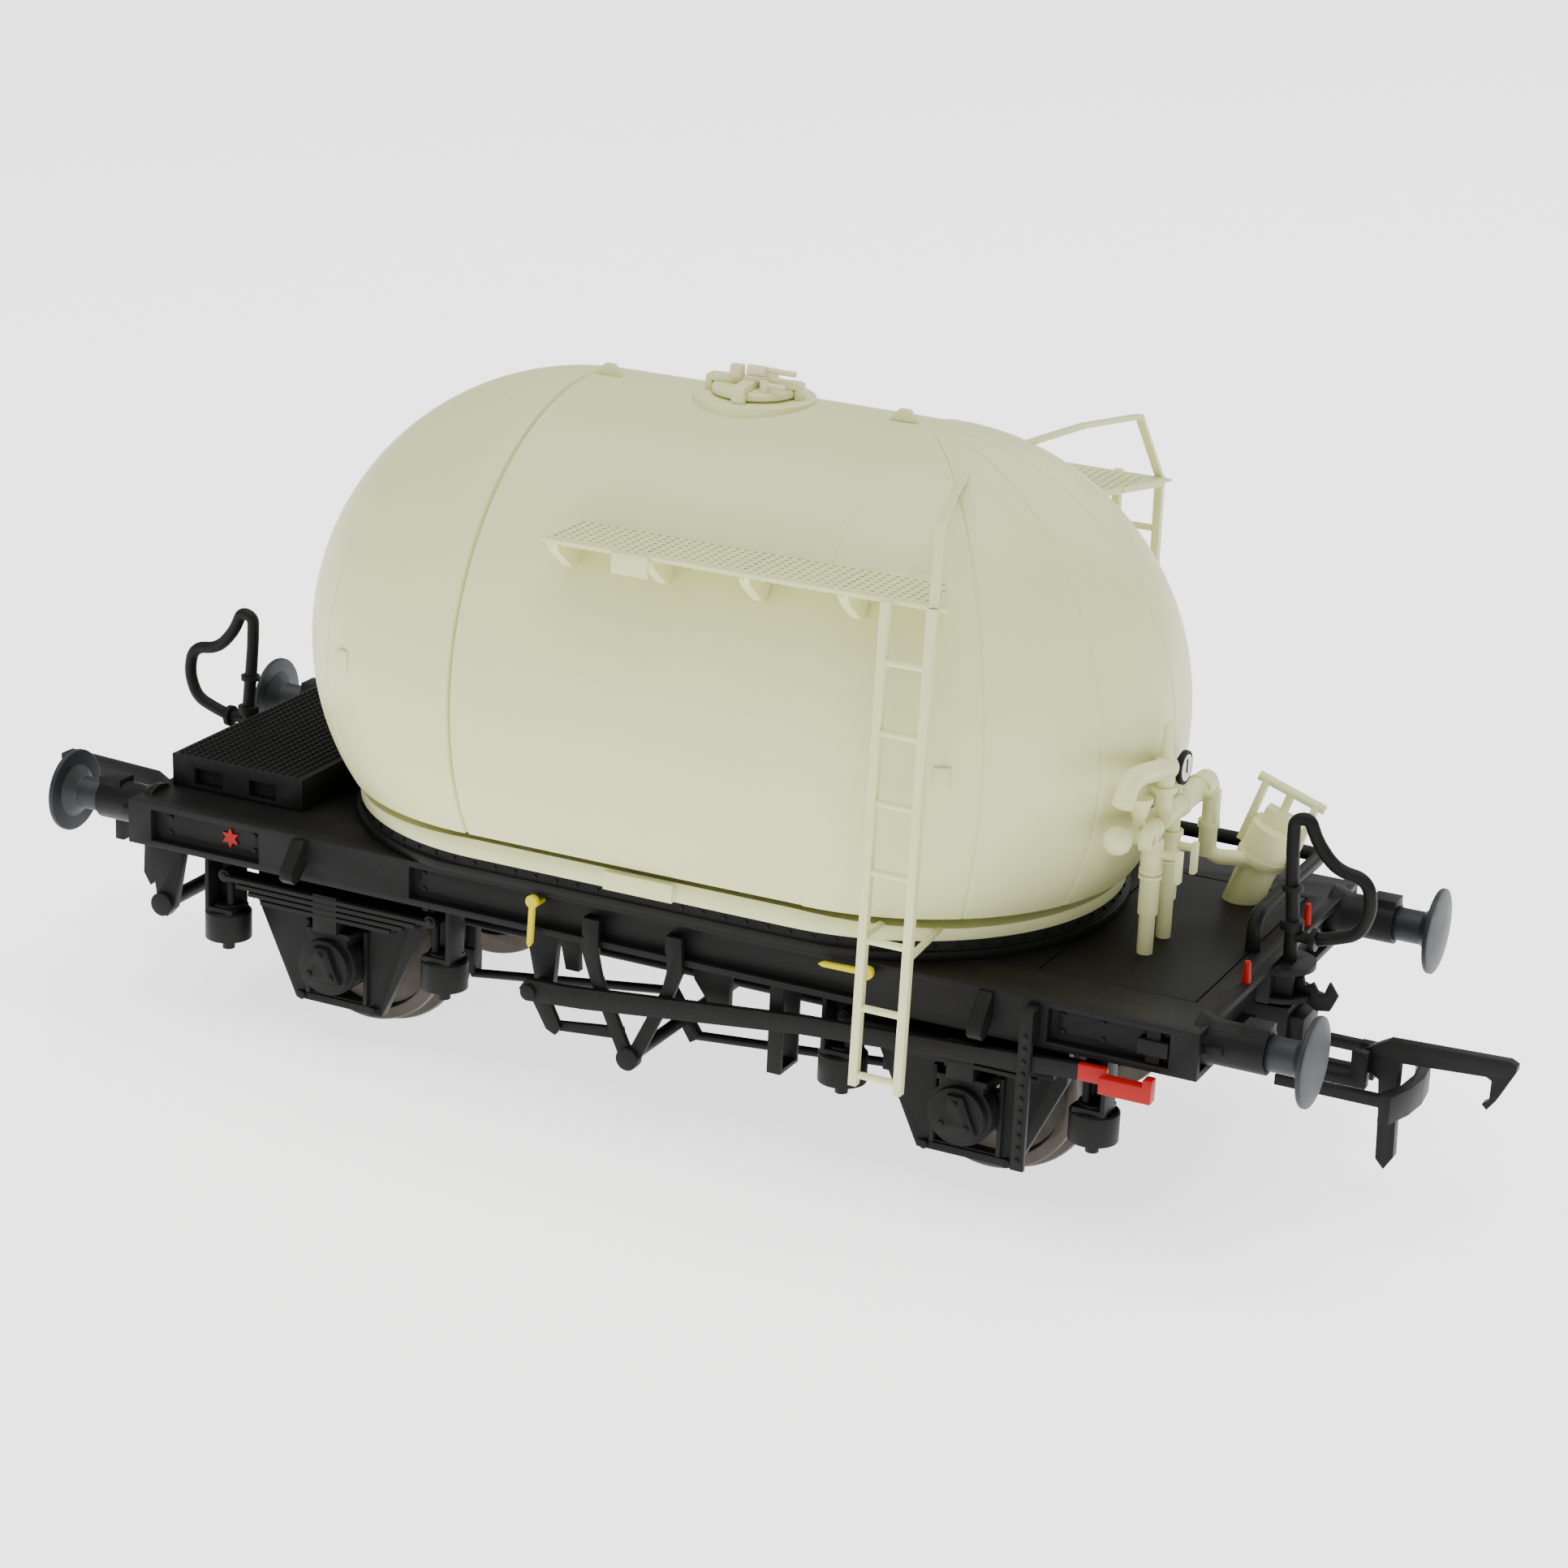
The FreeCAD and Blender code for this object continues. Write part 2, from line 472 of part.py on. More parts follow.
windows = [block(f"recess_{i}", span, (f"{side} - solebar_recess", f"{side} + 1"), channel)
           for i, span in enumerate(((f"-{half} + headstock_depth", -29.1), (-17.0, 17.0),
                                     (29.9, f"{half} - headstock_depth")))]
windows += [mirror(f"{one.Name}_near", one, "y") for one in list(windows)]
mouth = [block("headstock_recess", (f"{half} - headstock_recess", f"{half} + 0.01"),
               (2.3, f"{side} - 0.45"), channel)]
mouth.append(mirror("headstock_recess_near", mouth[0], "y"))
mouth.append(block("coupling_notch", (f"{half} - headstock_depth - 0.01", f"{half} + 0.01"), (-4.4, 4.4),
                   ("solebar_bottom - 1", 13.3)))
mouth += [mirror(f"{one.Name}_left", one, "x") for one in list(mouth)]
panel_hole = block("panel_hole", ("panel_left", "panel_right"), ("-panel_width/2", "panel_width/2"),
                   ("deck_top - panel_thickness", "deck_top + 1"))
screw_holes = [rod(f"deck_hole_{end}", "z", f"{sign}*screw_x", 0, (f"{deck_low} - 1", "deck_top + 1"),
                   "screw_radius + screw_clearance") for end, sign in ENDS.items()]
frame_cut = cut("frame_cut", frame_solid, *windows, *mouth, panel_hole, *screw_holes)
rivets = []
for x in (-36.9, -29.9, -16.2, 16.2, 30.7, 33.4):
    for z in (13.9, 15.0):
        rivets.append(rod(f"rivet_{len(rivets)}", "y", x,
                          (f"{side} - solebar_recess - 0.1", f"{side} - solebar_recess + 0.14"), z, 0.17))
vee_seats = [block(f"vee_seat_{i}", (x, x + 0.9), (f"{side} - solebar_recess - 0.1", "vee_in"), (13.4, 14.7))
             for i, x in enumerate((-3.5, 2.75))]
latch = [block("latch_bar", (36.5, 37.4), (f"{side} - solebar_recess - 0.1", f"{side} - 0.15"), (13.3, 15.5)),
         block("latch_block", (36.0, 38.0), (f"{side} - solebar_recess - 0.1", f"{side} + 0.1"), (13.9, 14.9))]
tow_brackets = [plate(f"tow_bracket_{i}", "YZ", [
    (f"{side} - 0.1", 15.8), (f"{side} + 0.3", 15.8), (f"{side} + 1.85", 14.0), (f"{side} + 1.9", 13.4),
    (f"{side} + 1.5", 13.0), (f"{side} + 0.95", 13.1), (f"{side} - 0.1", 14.1)], (x - 0.5, x + 0.5))
    for i, x in enumerate((-25.7, 25.7))]
trims = [*rivets, *vee_seats, *latch, *tow_brackets]
trims += [mirror(f"{one.Name}_near", one, "y") for one in list(trims)]
underframe_plain = fuse("underframe_plain", frame_cut, *trims)
gap = "panel_gap"
piece("pipework_panel", block("pipework_panel", (f"panel_left + {gap}", f"panel_right - {gap}"),
                              (f"-panel_width/2 + {gap}", f"panel_width/2 - {gap}"),
                              ("deck_top - panel_thickness", "deck_top")))
box_window = [block(f"box_window_{i}", span, ("box_width/2 - 0.8", "box_width/2 + 1"), (16.35, 17.6))
              for i, span in enumerate(((-37.2, -34.9), (-32.65, -30.4)))]
box_window += [mirror(f"{one.Name}_near", one, "y") for one in list(box_window)]
piece("end_box", cut("end_box", block("end_box_solid", ("box_left", "box_right"),
                                      ("-box_width/2", "box_width/2"), ("deck_top", "box_top")),
                     *box_window))
ballast_low = tray_top
ballast = block("ballast_bar", ("-ballast_length/2", "ballast_length/2"),
                ("-ballast_width/2", "ballast_width/2"), (ballast_low, f"{ballast_low} + ballast_height"))
ballast_holes = [rod(f"ballast_hole_{end}", "z", f"{sign}*screw_x", 0,
                     (f"{ballast_low} - 1", f"{ballast_low} + ballast_height + 1"), "boss_radius + 0.15")
                 for end, sign in ENDS.items()]
piece("ballast_weight", cut("ballast_weight", ballast, *ballast_holes))
screws = []
for end, sign in ENDS.items():
    shank = rod(f"screw_shank_{end}", "z", f"{sign}*screw_x", 0, (deck_low, f"{deck_low} + screw_length"),
                "screw_radius")
    head = rod(f"screw_head_{end}", "z", f"{sign}*screw_x", 0, (f"{deck_low} - screw_head", deck_low),
               "screw_head_radius")
    slots = [block(f"screw_slot_{end}_{i}", (f"{sign}*screw_x - {a}", f"{sign}*screw_x + {a}"), (f"-{b}", b),
                   (f"{deck_low} - screw_head - 1", f"{deck_low} - screw_head + 0.5"))
             for i, (a, b) in enumerate(((1.0, 0.2), (0.2, 1.0)))]
    screws.append(cut(f"screw_{end}", fuse(f"screw_whole_{end}", shank, head), *slots))
piece("fixing_screws", group("fixing_screws", *screws))

# ---------------------------------------------------------------- wheelsets in brass cup bearings
for end, sign in ENDS.items():
    x = f"{sign}*wheelbase/2"
    tip = "axle_length/2"
    piece(f"axle_{end}", turned(f"axle_{end}", "y", x, 0, "flange_radius", [
        (f"-{tip}", 0), (tip, 0), (f"{tip} - point_length", "axle_radius"),
        (f"-{tip} + point_length", "axle_radius")]))
    for name, way in SIDES.items():
        back, rim = "back_to_back/2", "back_to_back/2 + tyre_width"
        wheel = turned(f"wheel_{end}_{name}", "y", x, 0, "flange_radius", [
            (f"{way}*({back})", "bush_radius"), (f"{way}*({back})", "hub_radius"),
            (f"{way}*({back} + 0.6)", "hub_radius + 0.15"),
            (f"{way}*({back} + 0.6)", "tread_radius - tyre_depth - 0.1"),
            (f"{way}*({back})", "tread_radius - tyre_depth"),
            (f"{way}*({back})", "flange_radius - 0.15"), (f"{way}*({back} + 0.15)", "flange_radius"),
            (f"{way}*({back} + flange_width - 0.2)", "flange_radius - 0.15"),
            (f"{way}*({back} + flange_width)", "tread_radius"), (f"{way}*({rim} - 0.15)", "tread_radius - 0.05"),
            (f"{way}*({rim})", "tread_radius - 0.2"), (f"{way}*({rim})", "tread_radius - tyre_depth"),
            (f"{way}*({rim} - 0.75)", "tread_radius - tyre_depth - 0.1"),
            (f"{way}*({rim} - 0.75)", "hub_radius + 0.2"), (f"{way}*({rim} - 0.1)", "hub_radius"),
            (f"{way}*({rim} - 0.1)", "bush_radius")])
        piece(f"wheel_{end}_{name}", wheel)
bushes = []
for end, sign in ENDS.items():
    for name, way in SIDES.items():
        low = f"{way}*(back_to_back/2 + tyre_width/2) - tyre_width/2"
        whole = rod(f"bush_{end}_{name}", "y", f"{sign}*wheelbase/2", (low, f"{low} + tyre_width - 0.1"),
                    "flange_radius", "bush_radius")
        bore = rod(f"bush_bore_{end}_{name}", "y", f"{sign}*wheelbase/2", (f"{low} - 1", f"{low} + 4"),
                   "flange_radius", "axle_radius")
        bushes.append((end, cut(f"bush_ring_{end}_{name}", whole, bore)))
for end in ENDS:
    piece(f"wheel_bushes_{end}", group(f"wheel_bushes_{end}", *[one for at, one in bushes if at == end]))
cup_slope = "axle_radius/point_length"
cups = []
for end, sign in ENDS.items():
    for name, way in SIDES.items():
        apex = "axle_length/2 + running_gap"
        cups.append(turned(f"bearing_{end}_{name}", "y", f"{sign}*wheelbase/2", 0, "flange_radius", [
            (f"{way}*({apex})", 0), (f"{way}*bearing_mouth", f"({apex} - bearing_mouth)*{cup_slope}"),
            (f"{way}*bearing_mouth", "bearing_radius"), (f"{way}*bearing_back", "bearing_radius"),
            (f"{way}*bearing_back", 0)]))
piece("axle_bearings", group("axle_bearings", *cups))

# ---------------------------------------------------------------- axleguards, axleboxes and springs
axle_x = "wheelbase/2"
guard_out = "guard_in + guard_thickness"
guard_plate = plate("guard_plate", "XZ", [
    (f"{axle_x} - guard_top_half", "solebar_bottom"), (f"{axle_x} - guard_top_half", "guard_knee"),
    (f"{axle_x} - guard_low_half", "guard_bottom"), (f"{axle_x} + guard_low_half", "guard_bottom"),
    (f"{axle_x} + guard_top_half", "guard_knee"), (f"{axle_x} + guard_top_half", "solebar_bottom")],
    ("guard_in", guard_out))
guard_window = block("guard_window", (f"{axle_x} - window_half", f"{axle_x} + window_half"),
                     ("guard_in - 1", f"{guard_out} + 1"), ("guard_bottom + keep_height", "window_top"))
keep_bolts = [rod(f"keep_bolt_{i}", "y", f"{axle_x} + {way}*(guard_low_half - 0.6)",
                  (f"{guard_out} - 0.1", f"{guard_out} + 0.35"), "guard_bottom + keep_height/2", 0.3)
              for i, way in enumerate((-1, 1))]
keep_bar = block("keep_bar", (f"{axle_x} - guard_low_half + 0.1", f"{axle_x} + guard_low_half - 0.1"),
                 (f"{guard_out} - 0.1", f"{guard_out} + 0.15"), ("guard_bottom + 0.1", "guard_bottom + 0.6"))
horns = [block(f"horn_{i}", (f"{axle_x} + {way}*(window_half + 0.15) - 0.15",
                             f"{axle_x} + {way}*(window_half + 0.15) + 0.15"),
               (f"{guard_out} - 0.1", f"{guard_out} + 0.35"), ("guard_bottom + keep_height", "window_top - 0.2"))
         for i, way in enumerate((-1, 1))]
guard = fuse("guard_far_right", cut("guard_open", guard_plate, guard_window), keep_bar, *keep_bolts, *horns)


def four(source):
    """The piece at each wheel: its own place and the three mirrored ones."""
    left = mirror(source.Name + "_left", source, "x")
    return [source, left, mirror(source.Name + "_near", source, "y"), mirror(left.Name + "_near", left, "y")]


piece("axleguards", group("axleguards", *four(guard)))
seat = "box_high"
box_block = block("box_block", (f"{axle_x} - box_half", f"{axle_x} + box_half"), ("guard_in", "box_out"),
                  ("box_low", seat))
box_slides = block("box_slides", (f"{axle_x} - window_half", f"{axle_x} + window_half"),
                   ("guard_in", guard_out), ("flange_radius - 1.3", "flange_radius + 1.3"))
box_round = rod("box_round", "y", axle_x, (guard_out, "box_out"), "flange_radius", "boss_size")
box_boss = rod("box_boss", "y", axle_x, ("box_out", "boss_out"), "flange_radius", "boss_size - 0.3")
box_crown = block("box_crown", (f"{axle_x} - box_half - 0.2", f"{axle_x} + box_half + 0.2"),
                  ("guard_in", "box_out"), (f"{seat} - 0.4", seat))
tri = "(boss_size - 0.45)"
cover = plate("box_cover", "XZ", [
    (f"{axle_x} - {tri}*0.86", f"flange_radius - {tri}*0.5"), (f"{axle_x} - {tri}*0.6", f"flange_radius - {tri}*0.72"),
    (f"{axle_x} + {tri}*0.6", f"flange_radius - {tri}*0.72"), (f"{axle_x} + {tri}*0.86", f"flange_radius - {tri}*0.5"),
    (f"{axle_x} + {tri}*0.3", f"flange_radius + {tri}*0.86"), (f"{axle_x} - {tri}*0.3", f"flange_radius + {tri}*0.86")],
    ("boss_out", "cover_out"))
cover_bolts = [rod(f"cover_bolt_{i}", "y", f"{axle_x} + 1.0*sin({120 * i})", ("cover_out", "cover_out + 0.15"),
                   f"flange_radius + 1.0*cos({120 * i})", 0.22) for i in range(3)]
cup_hole = rod("cup_hole", "y", axle_x, ("guard_in - 1", "bearing_back"), "flange_radius", "bearing_radius")
axlebox = cut("axlebox_far_right", fuse("axlebox_solid", box_block, box_slides, box_round, box_boss, box_crown,
                                        cover, *cover_bolts), cup_hole)
piece("axleboxes", group("axleboxes", *four(cut("axlebox_clear", axlebox, guard))))

# Each leaf spring rests on its axlebox: a long top leaf with rolled eyes, shorter leaves under it and a
# buckle round the middle.
leaves = []
for i in range(int(v.leaf_count)):
    span = f"(spring_half - {i}*leaf_step)"
    leaves.append(block(f"leaf_{i}", (f"{axle_x} - {span}", f"{axle_x} + {span}"),
                        (f"spring_in + {i}*0.02", f"spring_out - {i}*0.02"),
                        (f"spring_top - {i + 1}*leaf_thickness", f"spring_top - {i}*leaf_thickness")))
buckle = block("spring_buckle", (f"{axle_x} - buckle_half", f"{axle_x} + buckle_half"),
               ("spring_in - 0.12", "spring_out + 0.12"), (seat, "spring_top + 0.15"))
eyes = [rod(f"spring_eye_{i}", "y", f"{axle_x} + {way}*spring_half", ("spring_in", "spring_out"),
            "spring_top - 0.1", "eye_radius") for i, way in enumerate((-1, 1))]
eyes += [rod(f"spring_pin_{i}", "y", f"{axle_x} + {way}*spring_half", ("spring_in", "spring_out + 0.15"),
             "spring_top - 0.1", "eye_radius - 0.2") for i, way in enumerate((-1, 1))]
piece("leaf_springs", group("leaf_springs", *four(fuse("spring_far_right", *leaves, buckle, *eyes))))

# At each spring end a link hangs from the eye into a round spring pot, carried by a channel hanger that
# comes down from the solebar.
hangers = []
for i, way in enumerate((-1, 1)):
    x = f"({axle_x} + {way}*hanger_x)"
    eye = f"({axle_x} + {way}*spring_half)"
    cheek = f"({x} + {way}*0.95)"
    hangers.append(fuse(
        f"hanger_{i}",
        rod(f"pot_{i}", "z", x, "pot_y", ("pot_bottom", "pot_top - 0.15"), "pot_radius"),
        rod(f"pot_rim_{i}", "z", x, "pot_y", ("pot_top - 0.15", "pot_top"), "pot_radius", "pot_radius - 0.15"),
        rod(f"pot_nub_{i}", "z", x, "pot_y", ("nub_bottom", "pot_bottom"), "nub_radius"),
        rod(f"pot_neck_{i}", "z", x, "pot_y", ("pot_top", "pot_top + 0.5"), 1.1),
        rod(f"link_{i}", "z", eye, "pot_y + 0.4", ("pot_top", "spring_top - 0.1 - eye_radius"), 0.28),
        block(f"hanger_cheek_{i}", (f"{cheek} - 0.15", f"{cheek} + 0.15"), (guard_out, "spring_out"),
              ("pot_top + 0.3", "solebar_bottom")),
        block(f"hanger_back_{i}", (f"{x} - 1.0", f"{x} + 1.0"), (f"{guard_out} - 0.4", guard_out),
              ("pot_top + 0.3", "solebar_bottom")),
        block(f"hanger_foot_{i}", (f"{x} - 1.1", f"{x} + 1.1"), (f"{guard_out} - 0.4", "spring_out"),
              ("pot_top", "pot_top + 0.35"))))
hanger_set = [one for hanger in hangers for one in four(cut(hanger.Name + "_clear", hanger, guard_plate))]
piece("spring_hangers", group("spring_hangers", *hanger_set))

# ---------------------------------------------------------------- sprung buffers
web = f"{half} - headstock_recess"
housings, coils = [], []
for end, sign in ENDS.items():
    for name, way in SIDES.items():
        at = (f"{way}*buffer_spread/2", "buffer_height")
        tag = f"{end}_{name}"
        housing = turned(f"housing_{tag}", "x", 0, *at, [
            (f"{sign}*({web})", 0), (f"{sign}*({web})", "housing_radius + 0.35"),
            (f"{sign}*({web} + 0.5)", "housing_radius + 0.35"), (f"{sign}*({web} + 1.2)", "housing_radius"),
            (f"{sign}*housing_front", "housing_radius"),
            (f"{sign}*housing_front", "shank_radius + shank_gap"),
            (f"{sign}*bore_back", "shank_radius + shank_gap"), (f"{sign}*bore_back", 0)])
        first, last = ("collar_back", "housing_front") if sign > 0 else ("-housing_front", "-collar_back")
        collar = block(f"collar_{tag}", (first, last),
                       (f"{at[0]} - collar_half", f"{at[0]} + collar_half"),
                       ("buffer_height", "buffer_height + collar_rise"))
        start, stop = ("bore_back", "housing_front + 1") if sign > 0 else ("-housing_front - 1", "-bore_back")
        bore = rod(f"housing_bore_{tag}", "x", (start, stop), *at, "shank_radius + shank_gap")
        side_rib = block(f"housing_rib_{tag}", (f"{half} - 0.4", f"{half} + 1.2"),
                         (f"{at[0]} + {way}*(housing_radius + 0.1) - 0.25",
                          f"{at[0]} + {way}*(housing_radius + 0.1) + 0.25"),
                         ("buffer_height - 0.25", "buffer_height + 0.25"))
        if sign < 0:
            side_rib = mirror(f"housing_rib_left_{tag}", side_rib, "x")
        housings.append(cut(f"housing_done_{tag}", fuse(f"housing_whole_{tag}", housing, collar, side_rib),
                            bore))
        shape = turned(f"buffer_shape_{tag}", "x", 0, *at, [
            (f"{sign}*shank_back", 0), (f"{sign}*shank_back", "shank_radius - 0.1"),
            (f"{sign}*(shank_back + 0.15)", "shank_radius"), (f"{sign}*(head_back - 0.75)", "shank_radius"),
            (f"{sign}*head_back", "shank_radius + 0.75"), (f"{sign}*head_back", "head_radius - 0.05"),
            (f"{sign}*(head_back + 0.1)", "head_radius"), (f"{sign}*buffer_face", "head_radius"),
            (f"{sign}*buffer_face", 0)])
        crown = ball(f"buffer_crown_{tag}", f"{sign}*(buffer_face - head_crown)", *at, "head_crown")
        piece(f"buffer_{tag}", overlap(f"buffer_{tag}", shape, crown))
        rings = []
        for i in range(3):
            ring = doc.addObject("Part::Torus", f"coil_{tag}_{i}")
            bind(ring, Radius1="coil_radius", Radius2="coil_wire")
            rings.append(place(ring, f"{sign}*(bore_back + coil_wire + {i}*1.8*coil_wire)", *at, TURN["x"]))
        coils.append(fuse(f"coil_{tag}", *rings))
piece("buffer_housings", group("buffer_housings", *housings))
piece("buffer_springs", group("buffer_springs", *coils))

# ---------------------------------------------------------------- couplings: swing arm, loop, lifting hook
pocket = block("pocket", ("pocket_back", "pocket_front"), ("-pocket_half", "pocket_half"),
               ("pocket_bottom", "pocket_top"))
slot = block("pocket_slot", ("pocket_back + 0.4", "pocket_front + 1"), ("-slot_half", "slot_half"),
             ("slot_bottom", "slot_top"))
arm = fuse("arm_solid", rod("arm_eye", "z", "swing_x", 0, ("arm_bottom", "arm_top"), "arm_half"),
           block("arm_bar", ("swing_x", "pocket_back + 0.1"), ("-arm_half", "arm_half"),
                 ("arm_bottom", "arm_top")), pocket)
arm_right = cut("coupling_arm_right", arm, slot,
                rod("arm_hole", "z", "swing_x", 0, ("arm_bottom - 1", "arm_top + 1"), "swing_pin + 0.06"))
tongue = block("tongue", ("pocket_back + 0.4", "loop_back + 0.5"),
               ("-slot_half + tongue_gap", "slot_half - tongue_gap"),
               ("slot_bottom + tongue_gap", "slot_top - tongue_gap"))
riser = block("loop_riser", ("loop_back", "loop_back + loop_bar"),
              ("-slot_half + tongue_gap", "slot_half - tongue_gap"), ("loop_low", "slot_top - tongue_gap"))
quarter_x = "(loop_corner + 3*loop_front)/4"
nose = [("loop_corner", "-loop_half"), (quarter_x, "-loop_half/2"), ("loop_front", 0),
        (quarter_x, "loop_half/2"), ("loop_corner", "loop_half")]
loop_slab = plate("loop_slab", "XY", [("loop_back", "-loop_half"), *nose, ("loop_back", "loop_half")],
                  ("loop_low", "loop_top"))
bumper_slab = plate("bumper_slab", "XY", [
    ("loop_corner - loop_bar", "-loop_half"), *nose, ("loop_corner - loop_bar", "loop_half")],
    ("bumper_low", "bumper_top"))
loop_hole = plate("loop_hole", "XY", [
    ("loop_back + loop_bar", "-loop_half + loop_bar"), ("loop_corner - loop_bar", "-loop_half + loop_bar"),
    (f"{quarter_x} - loop_bar", "-loop_half/2"), ("loop_front - loop_bar", 0),
    (f"{quarter_x} - loop_bar", "loop_half/2"),
    ("loop_corner - loop_bar", "loop_half - loop_bar"), ("loop_back + loop_bar", "loop_half - loop_bar")],
    ("bumper_low - 1", "bumper_top + 1"))
bearers = []
for i, across in enumerate((("hook_out + 0.08", "hook_out + 0.8"), ("hook_in - 0.8", "hook_in - 0.08"))):
    bearers.append(block(f"hook_bearer_{i}", ("loop_back", "hook_pivot_x + 0.5"), across, ("loop_low", "loop_top")))
    bearers.append(block(f"hook_lug_{i}", ("hook_pivot_x - 0.6", "hook_pivot_x + 0.5"), across,
                         ("loop_low", "hook_pivot_z + pivot_radius + 0.2")))
pivot = rod("hook_pivot", "y", "hook_pivot_x", ("hook_in - 0.9", "hook_out + 0.9"), "hook_pivot_z",
            "pivot_radius")
loop_right = fuse("loop_fused", cut("loop_open", fuse("loop_whole", loop_slab, bumper_slab), loop_hole),
                  tongue, riser, *bearers, pivot)
hook_plate = plate("hook_plate", "XZ", [
    (45.7, 9.9), (45.9, 10.9), (47.2, 11.7), (48.0, 12.15), (55.9, 12.45), (56.4, 12.2), (56.4, 11.8),
    (55.3, 9.6), (54.75, 8.85), (54.4, 9.2), (54.85, 9.5), (54.87, 10.9), (54.5, 11.1), (48.82, 10.75),
    (48.82, 9.0), (49.0, 4.1), (48.42, 3.15), (47.82, 3.8), (47.7, 7.0), (47.5, 9.3), (47.1, 9.6)],
    ("hook_in", "hook_out"))
hook_right = cut("hook_pierced", hook_plate, rod("hook_eye", "y", "hook_pivot_x", (-5, 5), "hook_pivot_z",
                                                 "pivot_radius + 0.05"))
for kind, right in (("coupling_arm", arm_right), ("coupling_loop", loop_right), ("coupling_hook", hook_right)):
    piece(f"{kind}_right", right)
    piece(f"{kind}_left", mirror(f"{kind}_left", right, "x"))

# ---------------------------------------------------------------- brake gear
lever_out = "lever_in + lever_thickness"
lever = plate("lever_bar", "XZ", [
    ("pivot_x - 0.2", "pivot_z - 0.7"), ("pivot_x - 0.8", "pivot_z + 0.1"), ("pivot_x - 0.3", "pivot_z + 0.85"),
    ("pivot_x + 2.5", "pivot_z + 0.9"), ("pivot_x + 20", "pivot_z + 2.65"), ("lever_end", "pivot_z + 3.7"),
    ("lever_end", "pivot_z + 2.65"), ("pivot_x + 20", "pivot_z + 1.4"), ("pivot_x + 4", "pivot_z - 0.4")],
    ("lever_in", lever_out))
pivot_boss = rod("lever_boss", "y", "pivot_x", ("lever_in - 0.7", f"{lever_out} + 0.3"), "pivot_z", 0.55)
crank_arm = plate("lever_crank", "XZ", [
    ("pivot_x - 0.75", "pivot_z"), ("pivot_x + 0.75", "pivot_z"), ("pivot_x + 2.0", "pivot_z - 2.5"),
    ("pivot_x + 1.6", "pivot_z - 3.1"), ("pivot_x + 0.9", "pivot_z - 2.8")],
    ("lever_in - 0.7", "lever_in - 0.3"))
crank_link = plate("lever_link", "XZ", [
    ("pivot_x + 1.1", "pivot_z - 2.95"), ("pivot_x + 1.4", "pivot_z - 2.3"),
    ("shaft_x - 0.9", "shaft_z + 1.7"), ("shaft_x - 0.8", "shaft_z + 0.9")],
    ("lever_in - 1.1", "lever_in - 0.7"))
levers = fuse("lever_far", lever, pivot_boss, crank_arm, crank_link)
piece("brake_levers", group("brake_levers", levers, mirror("lever_near", levers, "y")))
grip_in = block("grip_inner", ("lever_end", "lever_end + 1.9"), ("lever_in", lever_out),
                ("pivot_z + 2.65", "pivot_z + 3.75"))
grip_out = block("grip_outer", ("lever_end + 1.6", "grip_end"),
                 ("lever_in + 0.1", "lever_in + grip_offset + 0.3"), ("pivot_z + 2.25", "pivot_z + 3.35"))
grip_tip = block("grip_tip", ("grip_end - 0.6", "grip_end"), ("lever_in + 0.1", "lever_in + grip_offset + 0.3"),
                 ("pivot_z + 3.35", "pivot_z + 3.85"))
grip = fuse("grip_far", grip_in, grip_out, grip_tip)
piece("lever_grips", group("lever_grips", grip, mirror("grip_near", grip, "y")))

# A riveted guide strip holds each lever's free end; a V hanger on each solebar carries the cross shaft.
strip = block("guide_strip", ("strip_x - strip_half", "strip_x + strip_half"),
              (lever_out, f"{lever_out} + strip_thickness"), ("strip_bottom", "deck_top - 1.2"))
strip_head = block("guide_head", ("strip_x - strip_half", "strip_x + strip_half"),
                   (side, f"{lever_out} + strip_thickness"), ("deck_top - 2.4", "deck_top - 0.4"))
strip_rivets = [rod(f"guide_rivet_{i}", "y", "strip_x", (f"{lever_out} + strip_thickness - 0.05",
                                                        f"{lever_out} + strip_thickness + 0.15"),
                    f"strip_bottom + 0.7 + {i}*0.85", 0.17) for i in range(11)]
vee_out = "vee_in + vee_thickness"
vee_straps = []
for i, way in enumerate((-1, 1)):
    vee_straps.append(plate(f"vee_strap_{i}", "XZ", [
        (f"shaft_x + {way}*2.55", 14.85), (f"shaft_x + {way}*3.6", 14.85), (f"shaft_x + {way}*3.75", 12.4),
        (f"shaft_x + {way}*3.1", 10.6), (f"shaft_x + {way}*0.5", "shaft_z - 0.6"),
        (f"shaft_x - {way}*0.3", "shaft_z"), (f"shaft_x + {way}*2.3", 11.0), (f"shaft_x + {way}*2.6", 12.3)],
        ("vee_in", vee_out)))
vee_boss = rod("vee_boss", "y", "shaft_x", ("vee_in", f"{vee_out} + 0.35"), "shaft_z", 0.8)
loop_strap = fuse("rod_loop",
                  block("rod_loop_front", (10.4, 11.4), (15.2, 15.5), (6.9, "solebar_bottom")),
                  block("rod_loop_back", (10.4, 11.4), (12.8, 13.1), (6.9, "solebar_bottom")),
                  block("rod_loop_foot", (10.4, 11.4), (12.8, 15.5), (6.6, 6.9)))
short_hangers = [plate(f"short_hanger_{i}", "XZ", points, (14.0, 14.6)) for i, points in enumerate((
    [(4.2, "solebar_bottom"), (7.0, "solebar_bottom"), (7.0, 10.0), (5.6, 10.0), (4.4, 11.6)],
    [(-8.5, "solebar_bottom"), (-5.9, "solebar_bottom"), ("pivot_x + 0.6", "pivot_z - 0.7"),
     ("pivot_x - 0.6", "pivot_z - 0.7")],
    [(-5.9, "solebar_bottom"), (-4.5, "solebar_bottom"), (-4.3, 10.2), (-5.3, 10.2)]))]
lever_post = rod("lever_post", "y", "pivot_x", (14.6, "lever_in - 0.7"), "pivot_z", 0.45)
